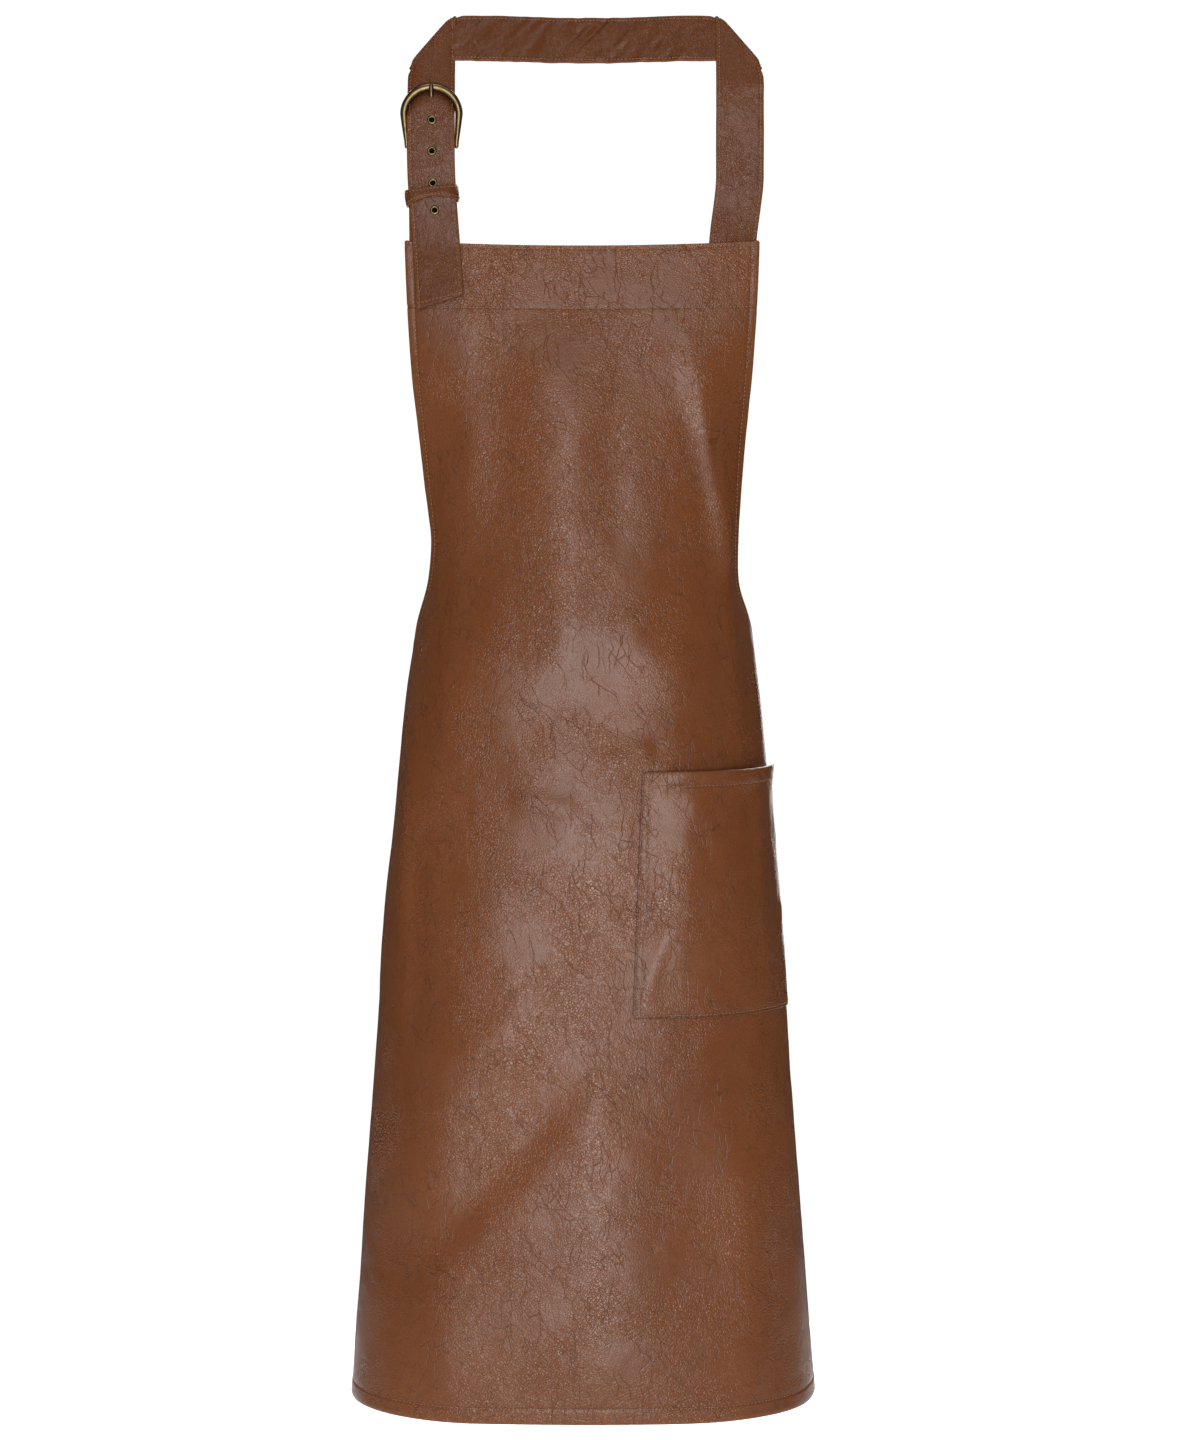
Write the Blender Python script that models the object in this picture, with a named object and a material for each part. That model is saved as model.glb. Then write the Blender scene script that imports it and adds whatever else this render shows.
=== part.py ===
"""Bib apron with a buckled neck strap: every sub-part is one closed solid, in metres, +Z up, front facing -Y.

Heights are first worked out above the hem and across the body, then moved so that the origin is at the middle
of the neck strap's back run, where the apron hangs on the wearer's nape.
"""

import math

import bmesh
import bpy
from mathutils import Matrix, Vector

# ---------------------------------------------------------------- driving dimensions (metres)
PANEL_HEIGHT = 1.040          # hem to the top edge of the bib
PANEL_T = 0.0012              # leather thickness of the panel, its hems and the pocket
STRAP_T = 0.0022              # neck strap, two layers sewn together
BUCKLE_STRAP_T = 0.0020       # short strap that holds the buckle
GAP = 0.0003                  # air left between touching layers
BIB_HALF_TOP = 0.1560         # flat half width of the bib at its top edge
BIB_HALF_WAIST = 0.1490       # flat half width where the armhole curve starts
SKIRT_HALF_TOP = 0.3250       # flat half width at the waist corners
SKIRT_HALF_HEM = 0.3500       # flat half width at the hem
ARM_TOP = 0.790               # height where the armhole curve leaves the bib
ARM_BOTTOM = 0.660            # height of the waist corners
SIDE_HEM = 0.0055             # width of the turned side hems
BOTTOM_HEM = 0.0125           # width of the turned bottom hem
ARM_HEM_AIR = 0.0032          # extra air under the armhole hems, which cross the panel's facets
FACING = 0.0570               # depth of the facing inside the top of the bib
SIDE_RISE = 0.0100            # how much higher the skirt hangs at its wrapped sides
TOP_DIP = 0.0045              # hollow of the bib's top edge

POCKET_TOP = 0.5700           # pocket mouth at its inner corner
POCKET_BOTTOM = 0.3550
POCKET_IN_TOP = 0.0530        # inner side of the pocket from the middle of the apron
POCKET_IN_BOTTOM = 0.0450
POCKET_OUT = 0.2400           # outer side, wrapped on to the hip
POCKET_BULGE = 0.0120         # how far the pocket's middle stands off the panel
POCKET_HEM = 0.0115
POCKET_EDGE_GAP = 0.0009      # air under the pocket's sewn edges

STRAP_W = 0.0400              # neck strap width
LOOP_TOP = 1.2420             # top edge of the strap's back run
FOLD_LOW = 1.1940             # outer end of both mitre folds
LEFT_X = -0.1333              # middle of the buckled side of the strap
RIGHT_X = 0.1395              # middle of the sewn side of the strap
RIGHT_X_SEAM = 0.1330         # middle of the sewn side at the bib
BACK_BOW = 0.0120             # how far the back run bows round the nape
LEAN = 0.21                   # backward slope of the strap above the buckle
SEAM_LOW = 0.9950             # lower end of the straps behind the bib
TAIL_X = -0.1254              # middle of the tail at its end
TAIL_END_IN = 0.9920          # the slanted end, towards the middle of the bib
TAIL_END_OUT = 0.9800

BAR_H = 1.1245                # height of the buckle's bar
BAR_R = 0.00175
BUCKLE_X = -0.1329
FRAME_TOP = 0.0509            # bar to the middle of the frame's top
FRAME_HALF = 0.0243
FRAME_CENTRE = 0.0270         # bar to the centre of the frame's rounded top
FRAME_FOOT_HALF = 0.0219
FRAME_R = 0.00265
FRAME_FOOT_R = 0.0016
FRAME_FORWARD = 0.0034        # how far the frame's top leans forward of its bar
PRONG_RING_R = 0.0028
PRONG_RING_WIRE = 0.0010
PRONG_R = 0.0014
BUCKLE_STRAP_W = 0.0384
FOLD_END = 1.0930             # stitched end of the fold round the bar

EYELETS = (1.1456, 1.1184, 1.0904, 1.0667)
EYELET_FLANGE_R = 0.00415
EYELET_HOLE_R = 0.0021
EYELET_BARREL_R = 0.0028
EYELET_FLANGE_T = 0.0005
STRAP_HOLE_R = 0.0031

KEEPER_H = 1.0800
KEEPER_BAND = 0.0125
KEEPER_T = 0.0018
KEEPER_HALF = 0.0226
KEEPER_CORNER = 0.0042
KEEPER_TILT = math.radians(7.0)

TIE_W = 0.0250
TIE_T = 0.0018
TIE_H = 0.6420
TIE_TAIL = 0.2600
KNOT = (0.0190, 0.0085, 0.0150)

# height above the hem, half width, half depth, front face, squareness of the body's cross-section
SECTIONS = (
    (0.000, 0.2105, 0.150, -0.152, 3.2),
    (0.150, 0.1998, 0.146, -0.151, 3.1),
    (0.285, 0.1898, 0.140, -0.150, 3.0),
    (0.425, 0.1798, 0.132, -0.148, 2.9),
    (0.565, 0.1675, 0.124, -0.145, 2.8),
    (0.635, 0.1608, 0.119, -0.142, 2.7),
    (0.705, 0.1508, 0.113, -0.139, 2.6),
    (0.745, 0.1455, 0.110, -0.138, 2.5),
    (0.800, 0.1560, 0.112, -0.138, 2.5),
    (0.900, 0.1950, 0.122, -0.136, 2.6),
    (1.040, 0.2900, 0.130, -0.130, 3.4),
)

LEATHER = (0.180, 0.062, 0.028, 1.0)
BRASS = (0.230, 0.165, 0.080, 1.0)


# ---------------------------------------------------------------- small helpers
def material(name, colour, metallic, roughness):
    """A Principled material."""
    made = bpy.data.materials.new(name)
    made.use_nodes = True
    made.diffuse_color = colour
    shader = made.node_tree.nodes["Principled BSDF"]
    shader.inputs["Base Color"].default_value = colour
    shader.inputs["Metallic"].default_value = metallic
    shader.inputs["Roughness"].default_value = roughness
    return made


def smooth(value, low, high):
    """0 below low, 1 above high, with a smooth change between."""
    share = min(1.0, max(0.0, (value - low) / (high - low)))
    return share * share * (3.0 - 2.0 * share)


def through(value, stations):
    """A value read from (position, value) pairs with a smooth curve through them."""
    if value <= stations[0][0]:
        return stations[0][1]
    for index in range(len(stations) - 1):
        left, right = stations[index], stations[index + 1]
        if value <= right[0]:
            before = stations[max(0, index - 1)]
            after = stations[min(len(stations) - 1, index + 2)]
            span = right[0] - left[0]
            share = (value - left[0]) / span
            slope_left = (right[1] - before[1]) / (right[0] - before[0])
            slope_right = (after[1] - left[1]) / (after[0] - left[0])
            a = 2 * share**3 - 3 * share**2 + 1
            b = share**3 - 2 * share**2 + share
            c = -2 * share**3 + 3 * share**2
            d = share**3 - share**2
            return a * left[1] + b * span * slope_left + c * right[1] + d * span * slope_right
    return stations[-1][1]


def section(height):
    """Half width, half depth, front and squareness of the body at a height."""
    return [through(height, [(s[0], s[k]) for s in SECTIONS]) for k in (1, 2, 3, 4)]


TABLES = {}
STEPS = 360


def arc_table(height):
    """Points round half of the body's cross-section, front middle to back middle, with their distance along it."""
    key = round(height, 6)
    if key not in TABLES:
        half, depth, front, power = section(height)
        rows = []
        length = 0.0
        last = None
        for step in range(STEPS + 1):
            turn = math.pi * step / STEPS
            c, s = math.cos(turn), math.sin(turn)
            x = half * abs(s) ** (2.0 / power)
            y = front + depth - depth * math.copysign(abs(c) ** (2.0 / power), c)
            if last:
                length += math.hypot(x - last[0], y - last[1])
            rows.append((length, x, y))
            last = (x, y)
        TABLES[key] = rows
    return TABLES[key]


def wrap(along, height):
    """The panel's mid surface: along is the flat distance from its middle, height the flat height above the hem."""
    rows = arc_table(height)
    want = abs(along)
    low, high = 0, len(rows) - 1
    while high - low > 1:
        middle = (low + high) // 2
        if rows[middle][0] <= want:
            low = middle
        else:
            high = middle
    a, b = rows[low], rows[high]
    share = (want - a[0]) / max(1e-12, b[0] - a[0])
    x = math.copysign(a[1] + share * (b[1] - a[1]), along)
    y = a[2] + share * (b[2] - a[2])
    rise = SIDE_RISE * smooth(want, 0.09, 0.30) * (1.0 - smooth(height, 0.62, 0.74))
    dip = TOP_DIP * max(0.0, 1.0 - (along / BIB_HALF_TOP) ** 2) * smooth(height, 0.90, PANEL_HEIGHT)
    return Vector((x, y, height + rise - dip))


def wrap_normal(along, height):
    """The panel's outward normal."""
    d = 0.0015
    across = wrap(along + d, height) - wrap(along - d, height)
    up = wrap(along, height + d) - wrap(along, height - d)
    return across.cross(up).normalized()


def half_width(height):
    """Flat half width of the panel."""
    if height >= ARM_TOP:
        share = (height - ARM_TOP) / (PANEL_HEIGHT - ARM_TOP)
        return BIB_HALF_WAIST + (BIB_HALF_TOP - BIB_HALF_WAIST) * share
    if height >= ARM_BOTTOM:
        share = (ARM_TOP - height) / (ARM_TOP - ARM_BOTTOM)
        return BIB_HALF_WAIST + (SKIRT_HALF_TOP - BIB_HALF_WAIST) * (1.0 - math.sqrt(max(0.0, 1.0 - share**2)))
    return SKIRT_HALF_TOP + (SKIRT_HALF_HEM - SKIRT_HALF_TOP) * (1.0 - height / ARM_BOTTOM)


def panel_depth(x, height):
    """The y of the panel's mid surface at a given x."""
    low, high = 0.0, half_width(height)
    for _ in range(40):
        middle = (low + high) / 2
        if wrap(middle, height).x < abs(x):
            low = middle
        else:
            high = middle
    return wrap(low, height).y


BIB_Y = panel_depth(LEFT_X, PANEL_HEIGHT)      # mid surface of the bib at its top corners
BAR_Y = BIB_Y - 0.00325


def loop_depth(height):
    """Mid surface of both sides of the neck strap above the buckle."""
    return BAR_Y + 0.0023 + LEAN * max(0.0, height - 1.1785)


ORIGIN = Vector((
    (LEFT_X + RIGHT_X) / 2.0,
    loop_depth(LOOP_TOP - STRAP_W / 2.0) + BACK_BOW + (STRAP_T + GAP) - STRAP_T / 2.0,
    LOOP_TOP - STRAP_W / 2.0,
))


def to_row(point):
    """From the working frame to the part's own, whose origin is at the nape."""
    return Vector(point) - ORIGIN


def finish(name, mesh_data, look, origin=None, faceted=False):
    """Links a bmesh as a named object with its own material and, for a moving piece, its own origin."""
    bmesh.ops.recalc_face_normals(mesh_data, faces=mesh_data.faces[:])
    if mesh_data.calc_volume(signed=True) < 0:
        bmesh.ops.reverse_faces(mesh_data, faces=mesh_data.faces[:])
    pivot = to_row(origin) if origin else Vector((0.0, 0.0, 0.0))
    for vertex in mesh_data.verts:
        vertex.co = to_row(vertex.co) - pivot
    mesh = bpy.data.meshes.new(name)
    mesh_data.to_mesh(mesh)
    mesh_data.free()
    made = bpy.data.objects.new(name, mesh)
    made.location = pivot
    bpy.context.collection.objects.link(made)
    colour, metallic, roughness = look
    mesh.materials.append(material(name, colour, metallic, roughness))
    if not faceted:
        mesh.shade_smooth()
        mesh.set_sharp_from_angle(angle=math.radians(40.0))
    return made


def slab(grid, thickness, ring=False):
    """A closed sheet of even thickness from rows of (point, normal); ring joins the last row to the first."""
    made = bmesh.new()
    skins = []
    for side in (0.5, -0.5):
        skins.append([[made.verts.new(p + n * (thickness * side)) for p, n in row] for row in grid])
    rows, cols = len(grid), len(grid[0])
    spans = rows if ring else rows - 1
    for i in range(spans):
        k = (i + 1) % rows
        for j in range(cols - 1):
            for skin in skins:
                made.faces.new((skin[i][j], skin[i][j + 1], skin[k][j + 1], skin[k][j]))
        for j in (0, cols - 1):
            made.faces.new((skins[0][i][j], skins[0][k][j], skins[1][k][j], skins[1][i][j]))
    if not ring:
        for i in (0, rows - 1):
            for j in range(cols - 1):
                made.faces.new((skins[0][i][j], skins[1][i][j], skins[1][i][j + 1], skins[0][i][j + 1]))
    return made


def tube(path, radii, sides=10):
    """A round rod along a path with a radius at each point and pointed-in round ends."""
    made = bmesh.new()
    rings = []
    count = len(path)
    before = None
    for index, centre in enumerate(path):
        ahead = (path[min(count - 1, index + 1)] - path[max(0, index - 1)]).normalized()
        if before is None:
            helper = Vector((1.0, 0.0, 0.0)) if abs(ahead.x) < 0.9 else Vector((0.0, 1.0, 0.0))
            before = helper
        u = (before - ahead * before.dot(ahead)).normalized()
        v = ahead.cross(u)
        before = u
        ring = []
        for k in range(sides):
            turn = 2.0 * math.pi * k / sides
            ring.append(made.verts.new(centre + (u * math.cos(turn) + v * math.sin(turn)) * radii[index]))
        rings.append(ring)
    for a, b in zip(rings, rings[1:]):
        for k in range(sides):
            m = (k + 1) % sides
            made.faces.new((a[k], a[m], b[m], b[k]))
    for ring, centre, other, reverse in ((rings[0], path[0], path[1], True), (rings[-1], path[-1], path[-2], False)):
        radius = (ring[0].co - centre).length
        tip = made.verts.new(centre + (centre - other).normalized() * radius * 0.6)
        for k in range(sides):
            m = (k + 1) % sides
            made.faces.new((ring[m], ring[k], tip) if reverse else (ring[k], ring[m], tip))
    return made


def lathe(profile, centre, axis, sides=16):
    """A closed ring turned from a profile of (radius, distance along axis)."""
    made = bmesh.new()
    axis = axis.normalized()
    u = axis.orthogonal().normalized()
    v = axis.cross(u)
    rings = []
    for k in range(sides):
        turn = 2.0 * math.pi * k / sides
        out = u * math.cos(turn) + v * math.sin(turn)
        rings.append([made.verts.new(centre + out * r + axis * h) for r, h in profile])
    for k in range(sides):
        a, b = rings[k], rings[(k + 1) % sides]
        for j in range(len(profile)):
            m = (j + 1) % len(profile)
            made.faces.new((a[j], a[m], b[m], b[j]))
    return made


def cut(target, mesh_data, name):
    """Cuts a closed tool out of an object."""
    bmesh.ops.recalc_face_normals(mesh_data, faces=mesh_data.faces[:])
    if mesh_data.calc_volume(signed=True) < 0:
        bmesh.ops.reverse_faces(mesh_data, faces=mesh_data.faces[:])
    for vertex in mesh_data.verts:
        vertex.co = to_row(vertex.co)
    mesh = bpy.data.meshes.new(name)
    mesh_data.to_mesh(mesh)
    mesh_data.free()
    tool = bpy.data.objects.new(name, mesh)
    bpy.context.collection.objects.link(tool)
    tool.hide_render = True
    tool.display_type = "WIRE"
    modifier = target.modifiers.new(name, "BOOLEAN")
    modifier.operation = "DIFFERENCE"
    modifier.solver = "EXACT"
    modifier.object = tool


def rod_tool(low, high, radius, sides=16):
    """A cylinder from one point to another."""
    made = bmesh.new()
    ahead = (high - low).normalized()
    turn = Vector((0.0, 0.0, 1.0)).rotation_difference(ahead).to_matrix().to_4x4()
    place = Matrix.Translation((low + high) / 2.0) @ turn
    bmesh.ops.create_cone(
        made, cap_ends=True, segments=sides, radius1=radius, radius2=radius, depth=(high - low).length, matrix=place
    )
    return made


def box_tool(low, high):
    """A box between two corners."""
    made = bmesh.new()
    size = Vector(high) - Vector(low)
    place = Matrix.Translation((Vector(low) + Vector(high)) / 2.0) @ Matrix.Diagonal((size.x, size.y, size.z, 1.0))
    bmesh.ops.create_cube(made, size=1.0, matrix=place)
    return made


# ---------------------------------------------------------------- panel, hems and pocket
SHARES = (0.0, 0.12, 0.24, 0.34, 0.42, 0.48, 0.54, 0.60, 0.66, 0.72, 0.80, 0.90)
SKIRT_ROWS = (0.0, BOTTOM_HEM, 0.06, 0.12, 0.19, 0.26, 0.33, 0.40, 0.46, 0.52, 0.57, 0.615, 0.65)
ARM_TURNS = (90, 76, 62, 50, 38, 26, 13, 0)
BIB_ROWS = (0.84, 0.89, 0.94, PANEL_HEIGHT - FACING, PANEL_HEIGHT)


def columns(height):
    """Flat positions of the panel's grid lines at a height: hem lines at both edges and a finer middle."""
    half = half_width(height)
    inner = half - SIDE_HEM
    right = [share * inner for share in SHARES[1:]] + [inner, half]
    return [-value for value in reversed(right)] + [0.0] + right


def arm_rows():
    """Heights through the armhole curve, closer together where it flattens out."""
    return [ARM_TOP - (ARM_TOP - ARM_BOTTOM) * math.sin(math.radians(turn)) for turn in ARM_TURNS]


def sheet_grid(heights, offset, first=None, last=None):
    """Rows of (point, normal) on the panel's own grid, set behind (+) or in front (-) of its mid surface."""
    grid = []
    for height in heights:
        row = []
        for along in columns(height)[first:last]:
            normal = wrap_normal(along, height)
            row.append((wrap(along, height) - normal * offset, normal))
        grid.append(row)
    return grid


def leather(roughness=0.45):
    """Look of the leather pieces."""
    return (LEATHER, 0.0, roughness)


def build_panel():
    """The panel and its turned hems."""
    rows = list(SKIRT_ROWS) + arm_rows() + list(BIB_ROWS)
    finish("main_panel", slab(sheet_grid(rows, 0.0), PANEL_T), leather())
    back = PANEL_T + GAP
    top_rows = (PANEL_HEIGHT - FACING, PANEL_HEIGHT - 0.0004)
    finish("bib_top_facing", slab(sheet_grid(top_rows, back), PANEL_T), leather())
    finish("bottom_hem", slab(sheet_grid((0.0004, BOTTOM_HEM), back), PANEL_T), leather())
    skirt = (BOTTOM_HEM + 0.0005,) + SKIRT_ROWS[2:]
    bib = (ARM_TOP + 0.001,) + BIB_ROWS[:3] + (PANEL_HEIGHT - FACING - 0.0005,)
    for side, first, last in (("right", 0, 2), ("left", -2, None)):
        finish(f"skirt_side_hem_{side}", slab(sheet_grid(skirt, back, first, last), PANEL_T), leather())
        finish(f"bib_side_hem_{side}", slab(sheet_grid(bib, back, first, last), PANEL_T), leather())
        sign = -1.0 if side == "right" else 1.0
        grid = []
        for turn in range(2, 75, 6):
            angle = math.radians(turn)
            reach = SKIRT_HALF_TOP - BIB_HALF_WAIST
            drop = ARM_TOP - ARM_BOTTOM
            edge = (BIB_HALF_WAIST + reach * (1.0 - math.cos(angle)), ARM_TOP - drop * math.sin(angle))
            step = (reach * math.sin(angle), -drop * math.cos(angle))
            size = math.hypot(*step)
            inward = (step[1] / size, -step[0] / size)
            row = []
            for share in (0.0, 1.0):
                along = sign * (edge[0] + inward[0] * SIDE_HEM * share)
                height = edge[1] + inward[1] * SIDE_HEM * share
                normal = wrap_normal(along, height)
                row.append((wrap(along, height) - normal * (back + ARM_HEM_AIR), normal))
            grid.append(row)
        finish(f"armhole_hem_{side}", slab(grid, PANEL_T), leather())


def pocket_point(u, v):
    """Flat position on the pocket: u from its inner to its outer side, v from bottom to mouth."""
    inner = POCKET_IN_BOTTOM + (POCKET_IN_TOP - POCKET_IN_BOTTOM) * v
    return inner + (POCKET_OUT - inner) * u, POCKET_BOTTOM + (POCKET_TOP - POCKET_BOTTOM) * v


def pocket_grid(us, vs, extra):
    """Rows of (point, normal) on the pocket, standing off the panel."""
    grid = []
    for v in vs:
        row = []
        for u in us:
            along, height = pocket_point(u, v)
            normal = wrap_normal(along, height)
            swell = smooth(u, 0.0, 0.28) * (1.0 - smooth(u, 0.38, 0.85)) * smooth(v, 0.0, 0.55)
            lift = (PANEL_T + GAP + 0.0004) * smooth(v, 0.80, 0.93)
            stand = PANEL_T + POCKET_EDGE_GAP + lift + POCKET_BULGE * swell + extra
            row.append((wrap(along, height) + normal * stand, normal))
        grid.append(row)
    return grid


def build_pocket():
    """The hip pocket and the turned hem of its mouth."""
    us = [k / 16.0 for k in range(17)]
    mouth = 1.0 - POCKET_HEM / (POCKET_TOP - POCKET_BOTTOM)
    vs = [0.0, 0.12, 0.24, 0.36, 0.48, 0.60, 0.75, mouth, 1.0]
    finish("hip_pocket", slab(pocket_grid(us, vs, 0.0), PANEL_T), leather())
    hem = pocket_grid(us[1:-1], (mouth, 0.998), -(PANEL_T + GAP))
    finish("pocket_mouth_hem", slab(hem, PANEL_T), leather())


# ---------------------------------------------------------------- neck strap
def strap_y_left(height):
    """Mid surface of the buckled side and its tail, above and below the bar."""
    bar = BAR_H
    stations = (
        (TAIL_END_OUT - 0.01, panel_depth(TAIL_X, 0.985) - 0.0085),
        (1.0100, panel_depth(TAIL_X, 1.010) - 0.0068),
        (1.0400, BIB_Y - 0.0050),
        (1.0800, BIB_Y - 0.00675),
        (bar - 0.0060, BAR_Y - 0.0062),
        (bar, BAR_Y - 0.0066),
        (bar + 0.0210, BAR_Y - 0.0073),
        (bar + 0.0340, BAR_Y - 0.0078),
        (bar + 0.0385, BAR_Y - 0.0073),
        (bar + 0.0430, BAR_Y - 0.0034),
        (bar + 0.0475, BAR_Y + 0.0020),
        (bar + 0.0540, BAR_Y + 0.0023),
        (bar + 0.0700, loop_depth(bar + 0.0700)),
        (LOOP_TOP, loop_depth(LOOP_TOP)),
    )
    return through(height, stations)


def strap_x_left(height):
    """Middle of the buckled side and its tail."""
    return LEFT_X + (TAIL_X - LEFT_X) * (1.0 - smooth(height, 0.97, 1.12))


def strap_y_right(height):
    """Mid surface of the sewn side: behind the bib, then up to the loop."""
    behind = panel_depth(RIGHT_X_SEAM, min(height, PANEL_HEIGHT))
    behind += PANEL_T / 2 + GAP + PANEL_T + GAP + STRAP_T / 2 + 0.0008
    share = smooth(height, PANEL_HEIGHT + 0.004, 1.16)
    return behind * (1.0 - share) + loop_depth(height) * share


def strap_x_right(height):
    """Middle of the sewn side."""
    return RIGHT_X_SEAM + (RIGHT_X - RIGHT_X_SEAM) * smooth(height, PANEL_HEIGHT - 0.01, 1.10)


ACROSS = (-1.0, -0.5, 0.0, 0.5, 1.0)


def frame_shift(x):
    """How much lower than its middle the strap dips behind the frame's rounded top, away from the middle."""
    away = min(0.0205, abs(x - BUCKLE_X))
    inner_half, inner_top = FRAME_HALF - FRAME_R, FRAME_TOP - FRAME_CENTRE - FRAME_R
    return inner_top * (1.0 - math.sqrt(1.0 - (away / inner_half) ** 2))


def follow_bib(x, middle, height):
    """Depth added so that a strap lying on the curved bib follows it from edge to edge."""
    share = 1.0 - smooth(height, PANEL_HEIGHT + 0.004, PANEL_HEIGHT + 0.030)
    if share <= 0.0:
        return 0.0
    level = min(height, PANEL_HEIGHT)
    return share * (panel_depth(x, level) - panel_depth(middle, level))


def strap_point(side, share, height):
    """A point of the strap's mid surface on one side of the loop."""
    if side < 0:
        middle = strap_x_left(height)
        x = middle + share * STRAP_W / 2
        y = strap_y_left(height + frame_shift(x) * smooth(height, BAR_H + 0.008, BAR_H + 0.028))
    else:
        middle = strap_x_right(height)
        x = middle - share * STRAP_W / 2
        y = strap_y_right(height)
    return Vector((x, y + follow_bib(x, middle, height), height))


def upright_rung(side, low, high):
    """A rung of a side of the loop; low and high are its heights at the outer and the inner edge."""
    row = []
    d = 0.0010
    for share in ACROSS:
        height = high + (low - high) * (0.5 - 0.5 * share)
        up = strap_point(side, share, height + d) - strap_point(side, share, height - d)
        across = strap_point(side, share + 0.05, height) - strap_point(side, share - 0.05, height)
        normal = across.cross(up).normalized()
        row.append((strap_point(side, share, height), normal if normal.y < 0 else -normal))
    return row


def fold_rungs(side, count=5):
    """Rungs round a mitre fold, from the front layer to the layer behind it."""
    x_mid = LEFT_X if side < 0 else RIGHT_X
    low = Vector((x_mid + side * STRAP_W / 2, 0.0, FOLD_LOW))
    high = Vector((x_mid - side * STRAP_W / 2, 0.0, LOOP_TOP))
    outward = Vector((side * (LOOP_TOP - FOLD_LOW), 0.0, STRAP_W)).normalized()
    radius = (STRAP_T + GAP) / 2.0
    rungs = []
    for k in range(1, count + 1):
        turn = math.pi * k / (count + 1)
        row = []
        for share in ACROSS:
            point = low.lerp(high, 0.5 + 0.5 * share)
            lean = Vector((0.0, -1.0, LEAN)).normalized()
            centre = Vector((point.x, loop_depth(point.z), point.z)) - lean * radius
            normal = lean * math.cos(turn) + outward * math.sin(turn)
            row.append((centre + normal * radius, normal))
        rungs.append(row)
    return rungs


def back_rung(x_outer, x_inner, low, high):
    """A rung of the back run, from its lower to its upper edge."""
    row = []
    lean = Vector((0.0, -1.0, LEAN)).normalized()
    for share in ACROSS:
        part = 0.5 + 0.5 * share
        x = x_outer + (x_inner - x_outer) * part
        height = low + (high - low) * part
        bow, d = back_bow(x), 0.001
        slope = (back_bow(x + d) - back_bow(x - d)) / (2 * d)
        point = Vector((x, loop_depth(height) + bow, height)) - lean * (STRAP_T + GAP)
        normal = Vector((-slope, 1.0, -LEAN)).normalized()
        row.append((point, normal))
    return row


def back_bow(x):
    """Backward bow of the back run round the nape."""
    middle = (LEFT_X + RIGHT_X) / 2
    reach = 0.108
    away = min(1.0, abs(x - middle) / reach)
    return BACK_BOW * math.cos(math.pi * away / 2) ** 2


def build_neck_strap():
    """One strap: sewn behind the bib, up, folded, round the nape, folded, down through the buckle to its tail."""
    rungs = []
    for height in (SEAM_LOW, 1.02, 1.045, 1.065, 1.09, 1.115, 1.14, 1.165):
        rungs.append(upright_rung(1, height, height))
    for k in (1, 2, 3):
        rungs.append(upright_rung(1, 1.165 + (FOLD_LOW - 1.165) * k / 3, 1.165 + (LOOP_TOP - 1.165) * k / 3))
    rungs += fold_rungs(1)
    low, high = LOOP_TOP - STRAP_W, LOOP_TOP
    start_out, start_in = RIGHT_X + STRAP_W / 2, RIGHT_X - STRAP_W / 2
    end_out, end_in = LEFT_X - STRAP_W / 2, LEFT_X + STRAP_W / 2
    rungs.append(back_rung(start_out, start_in, FOLD_LOW, high))
    rungs.append(back_rung(start_in + 0.018, start_in - 0.004, low - 0.002, high))
    steps = 14
    for k in range(steps + 1):
        x = start_in - 0.010 + (end_in + 0.010 - start_in + 0.010) * k / steps
        rungs.append(back_rung(x, x, low, high))
    rungs.append(back_rung(end_in - 0.018, end_in + 0.004, low - 0.002, high))
    rungs.append(back_rung(end_out, end_in, FOLD_LOW, high))
    rungs += list(reversed(fold_rungs(-1)))
    for k in (3, 2, 1):
        rungs.append(upright_rung(-1, 1.186 + (FOLD_LOW - 1.186) * k / 3, 1.186 + (LOOP_TOP - 1.186) * k / 3))
    for height in (
        1.186, 1.1785, 1.1720, 1.1697, 1.1675, 1.1652, 1.1630, 1.1607, 1.1585, 1.1510, 1.1402, 1.1320,
        1.1238, 1.1130, 1.1020, 1.0958, 1.0850, 1.0721, 1.0613, 1.0500, 1.0400, 1.0200, 1.0050,
    ):
        rungs.append(upright_rung(-1, height, height))
    rungs.append(upright_rung(-1, TAIL_END_OUT, TAIL_END_IN))
    strap = finish("neck_strap", slab(rungs, STRAP_T), leather(0.42))
    for index, height in enumerate(EYELETS, 1):
        centre, normal = eyelet_place(height)
        cut(strap, rod_tool(centre - normal * 0.004, centre + normal * 0.004, STRAP_HOLE_R), f"eyelet_hole_{index}")
    low_point, high_point = prong_line(0.0365), prong_line(0.0480)
    cut(strap, rod_tool(low_point, high_point, PRONG_R + 0.0006), "prong_slot")


def eyelet_place(height):
    """Middle and outward normal of an eyelet in the strap."""
    row = upright_rung(-1, height, height)
    point, normal = row[2]
    return point + Vector((0.0010, 0.0, 0.0)), normal


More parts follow.
